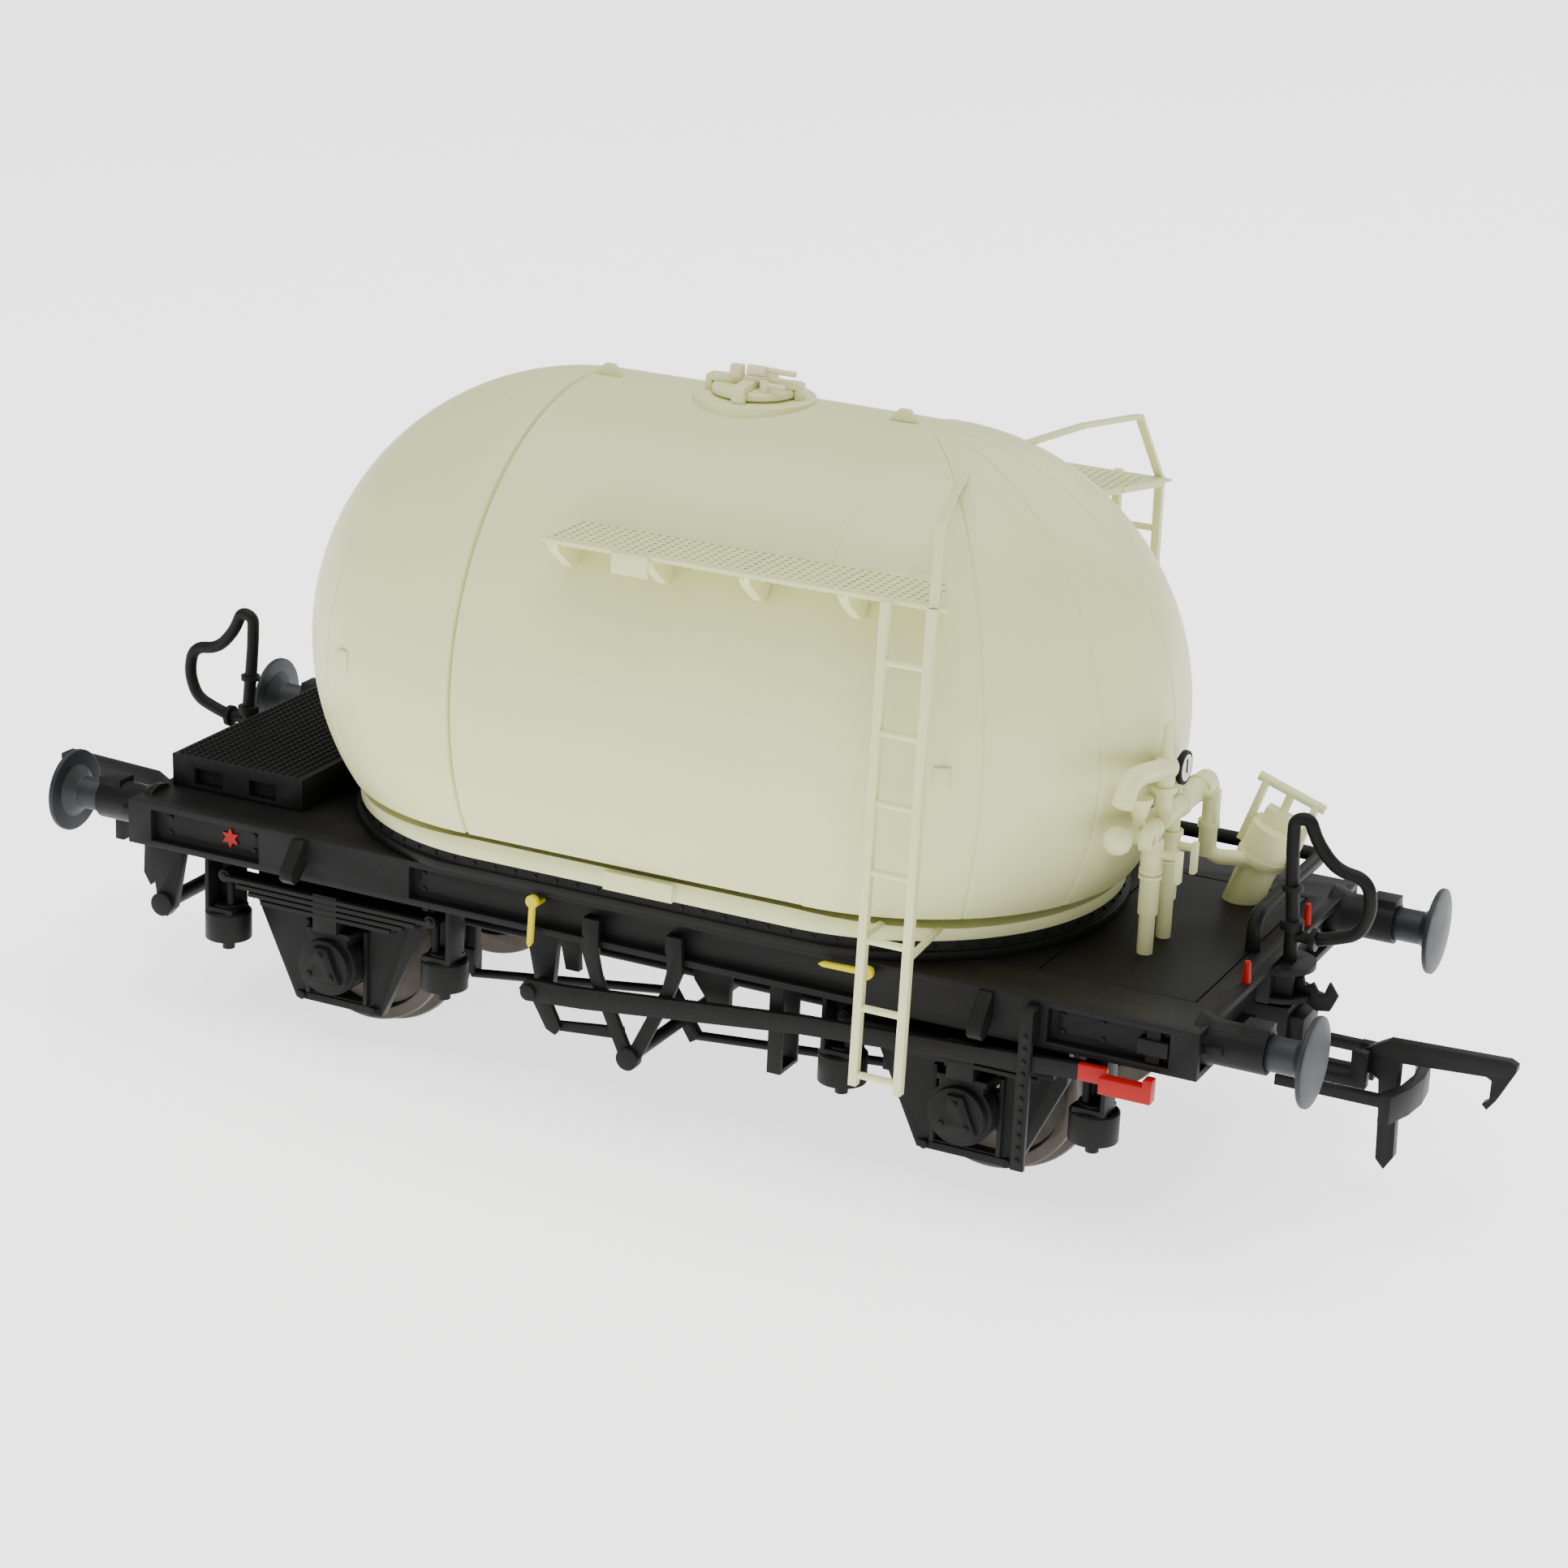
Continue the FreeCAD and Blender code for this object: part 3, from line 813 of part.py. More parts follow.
half_gear = [strip, strip_head, *strip_rivets, *vee_straps, vee_boss, loop_strap, *short_hangers, lever_post]
cranks, rods = [], []
for side_name, way in SIDES.items():
    y = f"{way}*rod_y"
    cranks.append(plate(f"crank_{side_name}", "XZ", [
        ("shaft_x - 1.5", "shaft_z + 1.9"), ("shaft_x - 0.7", "shaft_z + 2.3"), ("shaft_x + 1.5", "shaft_z - 1.0"),
        ("shaft_x + 0.7", "shaft_z - 1.5")], (f"{y} - 0.3", f"{y} + 0.3")))
    for i, (a, b) in enumerate((((v.shaft_x - 1.0, v.shaft_z + 1.9), (-16.2, 5.4)),
                                ((v.shaft_x + 1.0, v.shaft_z - 1.0), (16.2, 5.9)))):
        rods.append(strut(f"push_rod_{side_name}_{i}", (a[0], way * v.rod_y, a[1]), (b[0], way * v.rod_y, b[1]),
                          v.rod_radius))
shaft = rod("cross_shaft_bar", "y", "shaft_x", ("-vee_in", "vee_in"), "shaft_z", "shaft_radius")
rigging = (fuse("rigging", *half_gear, *[mirror(f"{one.Name}_m", one, "y") for one in half_gear],
                            shaft, *cranks, *rods))
shoes = []
shoe_in = "tread_radius + shoe_gap"
for name, way in SIDES.items():
    arc_ring = cut(f"shoe_ring_{name}",
                   rod(f"shoe_outer_{name}", "y", axle_x, (f"{way}*rod_y - 1.0", f"{way}*rod_y + 1.0"),
                       "flange_radius", f"{shoe_in} + shoe_thickness"),
                   rod(f"shoe_inner_{name}", "y", axle_x, (f"{way}*rod_y - 2", f"{way}*rod_y + 2"),
                       "flange_radius", f"flange_radius + shoe_gap"))
    arc = overlap(f"shoe_arc_{name}", arc_ring,
                  block(f"shoe_limit_{name}", (f"{axle_x} - 9", f"{axle_x} - 5.6"),
                        (f"{way}*rod_y - 1.1", f"{way}*rod_y + 1.1"), (3.9, 9.0)))
    hanger_bar = block(f"shoe_hanger_{name}", (f"{axle_x} - 8.2", f"{axle_x} - 7.4"),
                       (f"{way}*rod_y - 0.4", f"{way}*rod_y + 0.4"), (6.3, deck_low))
    shoe_block = block(f"shoe_back_{name}", (f"{axle_x} - 8.2", f"{axle_x} - 6.95"),
                       (f"{way}*rod_y - 0.6", f"{way}*rod_y + 0.6"), (5.6, 7.4))
    shoe = fuse(f"shoe_{name}", arc, hanger_bar, shoe_block)
    shoes += [shoe, mirror(f"shoe_left_{name}", shoe, "x")]
piece("brake_shoes", group("brake_shoes", *[cut(one.Name + "_clear", one, *rods) for one in shoes]))

# Yellow release handles, two on each solebar, turn on short pins.
pin_low = f"{side} - solebar_recess"
drop_handle = fuse("handle_down",
                   rod("handle_down_disc", "y", -7.0, ("handle_out", "handle_out + handle_thickness"), 15.3, 0.45),
                   plate("handle_down_bar", "XZ", [(-7.17, 15.1), (-6.83, 15.1), (-6.95, 12.3), (-7.15, 12.0),
                                                   (-7.3, 12.3)], ("handle_out", "handle_out + handle_thickness")),
                   rod("handle_down_pin", "y", -7.0, (pin_low, "handle_out"), 15.0, 0.22))
flat_handle = fuse("handle_flat",
                   rod("handle_flat_disc", "y", 17.6, ("handle_out", "handle_out + handle_thickness"), 15.5, 0.45),
                   plate("handle_flat_bar", "XZ", [(17.6, 15.33), (17.6, 15.67), (14.5, 15.6), (14.2, 15.45),
                                                   (14.5, 15.3)], ("handle_out", "handle_out + handle_thickness")),
                   rod("handle_flat_pin", "y", 17.6, (side, "handle_out"), 15.5, 0.22))
piece("release_handles", group("release_handles", drop_handle, flat_handle,
                               mirror("handle_down_near", drop_handle, "y"),
                               mirror("handle_flat_near", flat_handle, "y")))
end_bracket = plate("end_bracket", "XZ", [
    (-38.8, "solebar_bottom"), (-35.9, "solebar_bottom"), ("end_shaft_x + 0.8", "end_shaft_z - 0.3"),
    ("end_shaft_x + 0.2", "end_shaft_z - 1.0"), ("end_shaft_x - 0.5", "end_shaft_z - 0.6")], (14.2, 14.9))
end_boss = rod("end_boss", "y", "end_shaft_x", (14.9, 15.35), "end_shaft_z", 0.85)
end_shaft = (fuse("end_cross_shaft", end_bracket, end_boss, mirror("end_bracket_near", end_bracket, "y"),
                              mirror("end_boss_near", end_boss, "y"),
                              rod("end_shaft", "y", "end_shaft_x", (-14.3, 14.3), "end_shaft_z",
                                  "end_shaft_radius")))
pipe_stay = [block(f"train_pipe_stay_{i}", (x, x + 0.5), ("train_pipe_y - 0.25", "train_pipe_y + 0.25"),
                   ("train_pipe_z", deck_low)) for i, x in enumerate((-13, 12.5))]
train_pipe = (fuse("train_pipe", rod("train_pipe_run", "x", (-15.5, 15.5), "train_pipe_y", "train_pipe_z",
                                           "train_pipe_radius"), *pipe_stay))

piece("brake_rigging", group("brake_rigging", rigging, end_shaft, train_pipe))

# ---------------------------------------------------------------- end fittings
drawhook = plate("drawhook", "XZ", [
    (40.9, 14.75), (41.5, 14.75), (41.7, 14.1), (42.2, 14.5), (42.55, 13.95), (43.0, 13.85), (43.3, 14.75),
    (43.95, 13.85), (43.5, 12.8), (42.6, 12.65), (41.9, 13.1), (40.9, 13.4)],
    ("-drawhook_thickness/2", "drawhook_thickness/2"))
piece("drawhooks", group("drawhooks", drawhook, mirror("drawhook_left", drawhook, "x")))
irons = []
for end, sign in ENDS.items():
    for side_name, way in SIDES.items():
        irons.append(rod(f"lamp_iron_{end}_{side_name}", "z", f"{sign}*lamp_x", f"{way}*lamp_y",
                         ("deck_top - 0.6", "deck_top + lamp_height"), 0.36, 0.2))
piece("lamp_irons", group("lamp_irons", *irons))


def smooth_run(points, radius):
    """A round bar along straight runs, with a tangent arc at every corner; a bend of 0 is the widest that fits."""
    corners = [Vector(*p) for p in points]
    edges, start = [], corners[0]
    for i in range(1, len(corners) - 1):
        before = (corners[i - 1] - corners[i]).normalize()
        after = (corners[i + 1] - corners[i]).normalize()
        half_turn = before.getAngle(after) / 2
        shorter = min((corners[i - 1] - corners[i]).Length, (corners[i + 1] - corners[i]).Length)
        bend = radius[1] or 0.45 * shorter * math.tan(half_turn)
        reach = bend / math.tan(half_turn)
        first, last = corners[i] + before * reach, corners[i] + after * reach
        middle = (before + after).normalize()
        centre = corners[i] + middle * (bend / math.sin(half_turn))
        edges.append(Part.LineSegment(start, first).toShape())
        edges.append(Part.Arc(first, centre - middle * bend, last).toShape())
        start = last
    edges.append(Part.LineSegment(start, corners[-1]).toShape())
    wire = Part.Wire(edges)
    profile = Part.Wire(Part.Circle(corners[0], corners[1] - corners[0], radius[0]).toShape())
    return wire.makePipeShell([profile], True, False)


# The brake pipe at each end: an elbow and standpipe on the headstock, then the hose hanging from its top
# and coming back to a clamp on the same pipe.
hose_run = [(40.18, 20.9), (39.97, 23.6), (39.95, 25.35), (40.95, 25.6), (41.6, 24.1), (43.0, 22.5), (45.2, 22.2),
            (45.6, 20.2), (44.9, 18.4), (43.3, 17.8), (42.15, 17.5)]
hose = feature("hose", smooth_run([(x, 0, z) for x, z in hose_run], (v.hose_radius, 0)))
pipe = feature("standpipe_run", smooth_run([(39.1, 0, 15.4), (40.45, 0, 15.4), (40.4, 0, 18.5), (40.2, 0, 20.9)],
                                           (v.hose_radius - 0.04, v.pipe_bend)))
standpipe = fuse("standpipe", pipe,
                 rod("standpipe_collar", "z", "hose_x - 0.15", 0, (17.9, 18.5), "collar_radius"),
                 rod("standpipe_top_collar", "z", "hose_x - 0.33", 0, (20.55, 20.9), "collar_radius - 0.08"),
                 rod("hose_clip", "x", ("hose_clamp - 0.4", "hose_clamp - 0.05"), 0, "hose_foot", "collar_radius"),
                 rod("hose_stub", "x", ("hose_x", "hose_clamp - 0.2"), 0, "hose_foot", 0.38))
standpipe = cut("standpipe_clear", standpipe, hose)
piece("standpipes", group("standpipes", standpipe, mirror("standpipe_left", standpipe, "x")))
piece("brake_hoses", group("brake_hoses", hose, mirror("hose_left", hose, "x")))

# Pegs on the small fittings plug into matching sockets in the frame.
piece("underframe", cut("underframe", underframe_plain, *housings, *irons, drawhook, standpipe,
                        mirror("drawhook_socket", drawhook, "x"), mirror("standpipe_socket", standpipe, "x")))

# ---------------------------------------------------------------- pipework at the discharge end
fy, ry, px = "front_pipe_y", "rear_pipe_y", "pipe_x"


def column(name, y, steps):
    """A stack of round sections on one upright axis, each (radius, top), from the deck up."""
    low, stack = "deck_top", []
    for i, (radius, top) in enumerate(steps):
        stack.append(rod(f"{name}_{i}", "z", px, y, (low, top), radius))
        low = top
    return stack


front = column("front_pipe", fy, [(0.53, "sleeve_bottom"), (0.66, 21.2), (0.78, 21.45), (0.6, 21.6), (0.78, 21.85),
                                  (0.72, 23.9), (0.5, 24.4)])
front += [
    feature("front_branch", Part.makeCylinder(0.52, 4.2, Vector(v.pipe_x, v.front_pipe_y, 24.75),
                                              Vector(-0.9, -4.1, 0.1))),
    ball("front_elbow", px, fy, 24.6, 0.7),
    ball("front_branch_end", "pipe_x - 0.9", "front_pipe_y - 4.2", 24.85, 0.95),
    rod("front_mouth_neck", "x", ("pipe_x - 0.6", "pipe_x + 0.7"), "front_pipe_y - 2.6", 24.7, 0.42),
    cut("front_mouth", rod("front_mouth_cup", "x", ("pipe_x + 0.2", "pipe_x + 1.0"), "front_pipe_y - 2.6", 24.7, 0.8),
        rod("front_mouth_bore", "x", ("pipe_x + 0.6", "pipe_x + 2"), "front_pipe_y - 2.6", 24.7, 0.35)),
    rod("front_cap_neck", "z", "pipe_x - 0.4", "front_pipe_y - 1.9", (24.6, 26.0), 0.42),
    rod("front_cap", "z", "pipe_x - 0.4", "front_pipe_y - 1.9", (25.9, 26.9), 0.5, 0.78),
    rod("front_cap_rim", "z", "pipe_x - 0.4", "front_pipe_y - 1.9", (26.85, 27.2), 0.83)]
front_whole = fuse("front_whole", *front)
rear = column("rear_pipe", ry, [(0.5, "sleeve_bottom"), (0.64, 21.2), (0.74, 21.45), (0.56, 21.6), (0.74, 21.8),
                                (0.65, 23.2), (0.8, 23.5), (0.55, 25.0)])
rear += [
    rod("header", "y", px, (-3.75, 5.0), 25.0, 0.82),
    ball("header_far_end", px, 5.0, 25.0, 0.82),
    rod("header_collar_0", "y", px, (-0.5, 0.0), 25.0, 0.92), rod("header_collar_1", "y", px, (3.2, 3.7), 25.0, 0.92),
    rod("spout_column", "z", px, -3.2, (25.0, 28.4), 0.6), rod("spout_collar", "z", px, -3.2, (26.7, 27.1), 0.82),
    ball("spout_ball", px, -3.2, 28.35, 0.85), rod("plug_low", "z", px, -3.2, (28.6, 31.2), 0.5, 0.3),
    ball("plug_top", px, -3.2, 31.2, 0.32), rod("gauge_stem", "z", px, -0.45, (25.5, 27.0), 0.26)]
spout = feature("spout", smooth_run([(v.pipe_x, -3.2, 28.3), (v.pipe_x, -7.9, 29.2),
                                     (v.pipe_x, -9.7, 29.3), (v.pipe_x, -10.9, 28.0)], (0.68, 0)))
gauge = turned("gauge_case", "x", "pipe_x + 0.2", -0.45, 27.6, [
    (-0.35, 0), (-0.35, 0.7), (-0.1, "gauge_radius"), (0.25, "gauge_radius"), (0.25, "gauge_radius - 0.16"),
    (0.12, "gauge_radius - 0.2"), (0.12, 0)])
piece("pressure_gauge", gauge)
header = cut("header_pipe", fuse("header_whole", *rear, spout), gauge)
piece("header_pipe", header)
piece("loading_pipe_front", cut("loading_pipe_front", front_whole, header))
arch = feature("arch", smooth_run([(v.pipe_x, 5.0, 25.0), (v.pipe_x, v.arch_y, 25.0), (v.pipe_x, v.arch_y, 19.3),
                                   (v.port_x + 0.6, v.arch_y + 1.0, 19.3)], (0.53, 1.0)))
arch_flange = rod("arch_flange", "z", px, "arch_y", (21.4, 21.9), 0.74)
arch_sleeve = rod("arch_sleeve", "z", px, "arch_y", (19.4, 21.4), 0.62)
lean = Rotation(Vector(0, 1, 0), 19)


def tilted(name, radius, low, high):
    """A disc on the leaning axis of the discharge port, between two heights along that axis."""
    disc = doc.addObject("Part::Cylinder", name)
    bind(disc, Radius=radius, Height=f"({high}) - ({low})")
    return place(disc, f"port_x + ({low})*sin(19)", "port_y", f"deck_top + ({low})*cos(19)", lean)


port_body = overlap("port_body", tilted("port_tube", "port_body", -1, 3.35),
                    block("port_room", ("port_x - 4", "port_x + 6"), ("port_y - 4", "port_y + 4"),
                          ("deck_top", "deck_top + 6")))
port_ring = tilted("port_ring", "port_radius + 0.08", 3.2, 3.75)
port_cap = tilted("port_cap", "port_radius", 3.7, 5.9)
strap_top = 8.6
port_top = doc.addObject("Part::Box", "port_top")
bind(port_top, Length="2.2", Width="1.0", Height="1.3")
place(port_top, "port_x + 5.7*sin(19) - 1.1*cos(19)", "port_y - 0.5", "deck_top + 5.7*cos(19) + 1.1*sin(19)", lean)
straps = []
for i, way in enumerate((-1, 1)):
    strap = doc.addObject("Part::Box", f"port_strap_{i}")
    bind(strap, Length="0.45", Width="0.75", Height="4.9")
    bar_out = f"{way}*(port_radius + 0.18) - 0.22"
    straps.append(place(strap, f"port_x + 3.9*sin(19) + ({bar_out})*cos(19)", "port_y - 0.37",
                        f"deck_top + 3.9*cos(19) - ({bar_out})*sin(19)", lean))
cross = doc.addObject("Part::Cylinder", "port_cross")
bind(cross, Radius="0.33", Height="2*port_radius + 1.6")
place(cross, f"port_x + {strap_top}*sin(19) - (port_radius + 0.8)*cos(19)", "port_y",
      f"deck_top + {strap_top}*cos(19) + (port_radius + 0.8)*sin(19)", Rotation(Vector(0, 1, 0), 109))
screw = tilted("port_screw", 0.3, 6.6, strap_top)
port = fuse("port", port_body, port_ring, port_cap, port_top, *straps, cross, screw)
piece("discharge_pipe", cut("discharge_pipe", fuse("discharge_whole", arch, arch_flange, arch_sleeve, port), header))
handles = []
for i, (y, z, out, drop) in enumerate((("front_pipe_y", 22.9, 1.9, 1.7), ("rear_pipe_y", 22.5, 1.75, 1.7),
                                       (2.6, 25.0, 1.7, 1.9))):
    handles.append(fuse(f"valve_lever_{i}",
                        rod(f"valve_stem_{i}", "x", ("pipe_x + 0.55", f"pipe_x + {out}"), y, z, 0.28),
                        block(f"valve_bar_{i}", (f"pipe_x + {out} - 0.2", f"pipe_x + {out} + 0.15"),
                              (f"{y} - 0.32", f"{y} + 0.32"), (f"{z} - {drop}", f"{z} + 0.4"))))
piece("valve_levers", group("valve_levers", *[cut(one.Name + "_seated", one, *front, *rear) for one in handles]))
rail_pipe = smooth_run([(v.rail_x, -0.4, v.deck_top), (v.rail_x, -0.4, v.rail_height),
                        (v.rail_x, v.rail_far, v.rail_height), (23.5, v.rail_far, v.rail_height),
                        (23.5, v.rail_far, v.deck_top)], (v.rail_pipe_radius, 1.1))
piece("rail_pipe", feature("rail_pipe", rail_pipe))

# ---------------------------------------------------------------- check and write every part
doc.recompute()
for thing in doc.Objects:
    if {"Invalid", "Error"} & set(thing.State):
        raise RuntimeError(f"{thing.Name}: {thing.State}")
os.makedirs("parts", exist_ok=True)
for thing in parts:
    shape = thing.Shape
    if shape.isNull() or not shape.isValid() or not shape.Solids:
        raise RuntimeError(f"{thing.Label}: bad shape")
    shape.exportStep(f"parts/{thing.Label}.step")
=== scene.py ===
"""A 00-gauge model of a four-wheel bulk powder tank wagon, finished as it leaves the maker's bench.

X runs along the wagon towards its discharge pipes, Y across it and Z up. Sizes are in metres.
"""
import json
import math

import bpy
from mathutils import Matrix, Vector


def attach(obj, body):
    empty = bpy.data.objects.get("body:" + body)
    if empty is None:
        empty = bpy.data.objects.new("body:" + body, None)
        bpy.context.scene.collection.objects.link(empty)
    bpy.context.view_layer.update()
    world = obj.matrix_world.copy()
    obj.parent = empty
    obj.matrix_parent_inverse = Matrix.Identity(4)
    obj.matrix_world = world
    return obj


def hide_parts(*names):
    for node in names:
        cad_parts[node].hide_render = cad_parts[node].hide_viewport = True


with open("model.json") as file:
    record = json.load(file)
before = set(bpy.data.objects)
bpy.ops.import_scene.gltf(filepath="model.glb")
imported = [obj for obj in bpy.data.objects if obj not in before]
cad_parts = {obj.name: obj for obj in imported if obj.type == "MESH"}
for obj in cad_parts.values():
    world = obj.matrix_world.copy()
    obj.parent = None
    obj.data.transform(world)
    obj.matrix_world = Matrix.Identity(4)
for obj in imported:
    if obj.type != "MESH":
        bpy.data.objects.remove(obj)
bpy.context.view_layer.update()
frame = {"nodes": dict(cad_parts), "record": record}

# ---- Bench and camera
# A pale bench top under the wagon, and a camera a little above the near side, towards the
# pipework end.
BENCH_SIZE = 6
CAMERA_PLACE = (0.108781, -0.223007, 0.106584)

bpy.ops.mesh.primitive_plane_add(size=BENCH_SIZE)
bench = bpy.context.object
bench.name = "bench_top"

camera_data = bpy.data.cameras.new("camera")
camera = bpy.data.objects.new("camera", camera_data)
bpy.context.scene.collection.objects.link(camera)
bpy.context.scene.camera = camera
camera_data.lens = 87.21
camera_data.sensor_width = 36
camera_data.clip_start = 0.005
camera_across = Vector((0.8969882, 0.44002905, 0.04226831))
camera_up = Vector((-0.18067283, 0.27766283, 0.94353626))
camera_back = Vector((0.40344702, -0.85397763, 0.32856158))
turned_axes = Matrix((camera_across, camera_up, camera_back)).transposed()
camera.matrix_world = Matrix.Translation(CAMERA_PLACE) @ turned_axes.to_4x4()


# ---- Studio light
# Large soft boxes: one overhead, one at each near corner and one behind, with an even glow from
# all round for the black running gear.
def soft_box(name, place, aim, size, power):
    """A square lamp at a place, facing the point it is aimed at."""
    bpy.ops.object.light_add(type="AREA", location=place)
    lamp = bpy.context.object
    lamp.name = name
    lamp.data.size = size
    lamp.data.energy = power
    lamp.rotation_euler = (Vector(place) - Vector(aim)).to_track_quat("Z", "Y").to_euler()


soft_box("light_overhead", (0.0, -0.05, 0.6), aim=(0, 0, 0.02), size=0.6, power=3.8)
soft_box("light_near_left", (-0.35, -0.55, 0.35), aim=(0, 0, 0.025), size=0.4, power=0.6)
soft_box("light_near_right", (0.5, -0.4, 0.25), aim=(0, 0, 0.02), size=0.35, power=0.3)
soft_box("light_far", (0.1, 0.6, 0.4), aim=(0, 0, 0.03), size=0.4, power=1.2)
world = bpy.data.worlds.new("studio")
bpy.context.scene.world = world
world.use_nodes = True
glow = world.node_tree.nodes["Background"]
glow.inputs["Color"].default_value = (1, 1, 1, 1)
glow.inputs["Strength"].default_value = 0.55


# ---- Cream plastic
# The tank, its pipes, ladders and walkways are moulded or etched, then sprayed one warm
# off-white.
class Wire:
    """An output in a finish's nodes. Arithmetic on it adds Math nodes."""

    def __init__(self, tree, socket=None):
        self.tree = tree
        self.socket = socket

    def add(self, kind, settings=None, sockets=None, out=0):
        """Adds a node: its settings first, then the values or wires for its sockets."""
        node = self.tree.nodes.new("ShaderNode" + kind)
        for name, value in (settings or {}).items():
            if name == "stops":
                ramp = node.color_ramp.elements
                while len(ramp) < len(value):
                    ramp.new(0.5)
                for step, (position, colour) in zip(ramp, value):
                    step.position = position
                    step.color = (*colour, 1)
            else:
                setattr(node, name, value)
        for name, value in (sockets or {}).items():
            if isinstance(value, Wire):
                self.tree.links.new(value.socket, node.inputs[name])
            else:
                node.inputs[name].default_value = value
        return Wire(self.tree, node.outputs[out])

    def into(self, socket):
        """Plugs this output into a socket of the finish's own shader."""
        self.tree.links.new(self.socket, socket)

    def __add__(self, other):
        return self.add("Math", {"operation": "ADD"}, {0: self, 1: other})

    def __mul__(self, other):
        return self.add("Math", {"operation": "MULTIPLY"}, {0: self, 1: other})


def start_finish(name):
    """A new finish with its surface shader and a wire to build from."""
    finish = bpy.data.materials.new(name)
    finish.use_nodes = True
    return finish, finish.node_tree.nodes["Principled BSDF"], Wire(finish.node_tree)


def grain(wire, scale, detail):
    """Even noise over the piece, in cycles per metre."""
    place = wire.add("TexCoord", out="Object")
    return wire.add("TexNoise", {}, {"Vector": place, "Scale": scale, "Detail": detail,
                                     "Roughness": 0.6}, out="Fac")


def darker_and_lighter(colour, patch):
    """The two ends of a colour's faint unevenness."""
    return (tuple(c * (1 - patch) for c in colour),
            tuple(min(1, c * (1 + patch)) for c in colour))


def painted(name, colour, patch, base_rough, bump, specular=0.45):
    """Sprayed or moulded colour: faint patches, an uneven sheen and a fine eggshell surface."""
    finish, shader, wire = start_finish(name)
    patches = grain(wire, scale=160, detail=4.0)
    specks = grain(wire, scale=9000, detail=2.0)
    blend = patches * 0.7 + specks * 0.3
    tone = wire.add("MapRange", {}, {"Value": blend, "From Min": 0.3, "From Max": 0.7})
    low, high = darker_and_lighter(colour, patch)
    wire.add("ValToRGB", {"stops": [(0, low), (1, high)]}, {"Fac": tone},
             out="Color").into(shader.inputs["Base Color"])
    rough = patches * 0.12 + specks * 0.1 + (base_rough - 0.11)
    rough.into(shader.inputs["Roughness"])
    wire.add("Bump", {}, {"Height": specks, "Strength": bump, "Distance": 0.00002},
             out="Normal").into(shader.inputs["Normal"])
    shader.inputs["Specular IOR Level"].default_value = specular
    return finish


cream = painted("cream_plastic", (0.68, 0.695, 0.35), patch=0.02, base_rough=0.42, bump=0.25)

# ---- Black plastic
# The frame, springs, brake gear and couplings are black mouldings with a satin bloom. They are
# left in the plastic's own colour.
black = painted("black_plastic", (0.0075, 0.0073, 0.0072), patch=0.25, base_rough=0.5, bump=0.35,
                specular=0.13)

# ---- Coloured paint and metals
# Handles are tipped red and yellow by hand. Wheels are nickel plate, blackened on the tread;
# buffers are turned from steel and blued.
red = painted("red_paint", (0.32, 0.003, 0.002), patch=0.05, base_rough=0.42, bump=0.2,
              specular=0.2)
yellow = painted("yellow_paint", (0.60, 0.50, 0.0), patch=0.04, base_rough=0.5, bump=0.2,
                 specular=0.05)
pink_cream = painted("bare_plastic", (0.74, 0.64, 0.42), patch=0.03, base_rough=0.45, bump=0.2)


def metal(name, colour, rough, patch=0.12, metallic=1.0):
    """Turned and plated metal, with faint tool marks and uneven tarnish."""
    finish, shader, wire = start_finish(name)
    tarnish = grain(wire, scale=350, detail=5.0)
    fine = grain(wire, scale=12000, detail=2.0)
    low, high = darker_and_lighter(colour, patch)
    wire.add("ValToRGB", {"stops": [(0.3, low), (0.7, high)]}, {"Fac": tarnish},
             out="Color").into(shader.inputs["Base Color"])
    sheen = tarnish * 0.2 + fine * 0.1 + (rough - 0.15)
    sheen.into(shader.inputs["Roughness"])
    wire.add("Bump", {}, {"Height": fine, "Strength": 0.3, "Distance": 0.00001},
             out="Normal").into(shader.inputs["Normal"])
    shader.inputs["Metallic"].default_value = metallic
    return finish


wheel_nickel = metal("wheel_nickel", (0.055, 0.047, 0.038), rough=0.42, patch=0.35,
                     metallic=0.75)
blued_steel = metal("blued_steel", (0.012, 0.014, 0.018), rough=0.5, metallic=0.35)
bright_steel = metal("bright_steel", (0.55, 0.55, 0.56), rough=0.3)
bearing_brass = metal("bearing_brass", (0.72, 0.52, 0.22), rough=0.3)
cast_ballast = metal("cast_ballast", (0.3, 0.3, 0.31), rough=0.6)

# The bench top is a lit white board, so that the wagon stands on an even pale ground.
bench_finish = painted("bench_paint", (0.93, 0.93, 0.93), patch=0.002, base_rough=0.8, bump=0.0,
                       specular=0.1)
bench_shader = bench_finish.node_tree.nodes["Principled BSDF"]
bench_shader.inputs["Emission Color"].default_value = (1, 1, 1, 1)
bench_shader.inputs["Emission Strength"].default_value = 1.8
bench.data.materials.append(bench_finish)

# ---- Pieces kept at their machined shape
# Each is finished as a modeller would: sharp edges are just broken and the round faces are
# smooth.
MM = 0.001
BROKEN_EDGE = 0.05 * MM
SMOOTH_ANGLE = 35
MERGE_WITHIN = 0.0005 * MM
FLAT_WITHIN = 0.5
SHARP_PAST = 40
FINISHES = {
    "cream_body": cream, "black_frame": black, "wheel_metal": wheel_nickel,
    "axle_steel": bright_steel, "buffer_steel": blued_steel, "red_paint": red,
    "yellow_paint": yellow, "pale_trim": pink_cream, "ballast": cast_ballast,
    "screw_steel": bright_steel, "brass": bearing_brass,
}
record = frame["record"]
slots = {one["node"]: one["material_slot"] for one in record["subparts"]}
bodies = {node: body for body, members in record["behaviour"]["bodies"].items()
          for node in members}


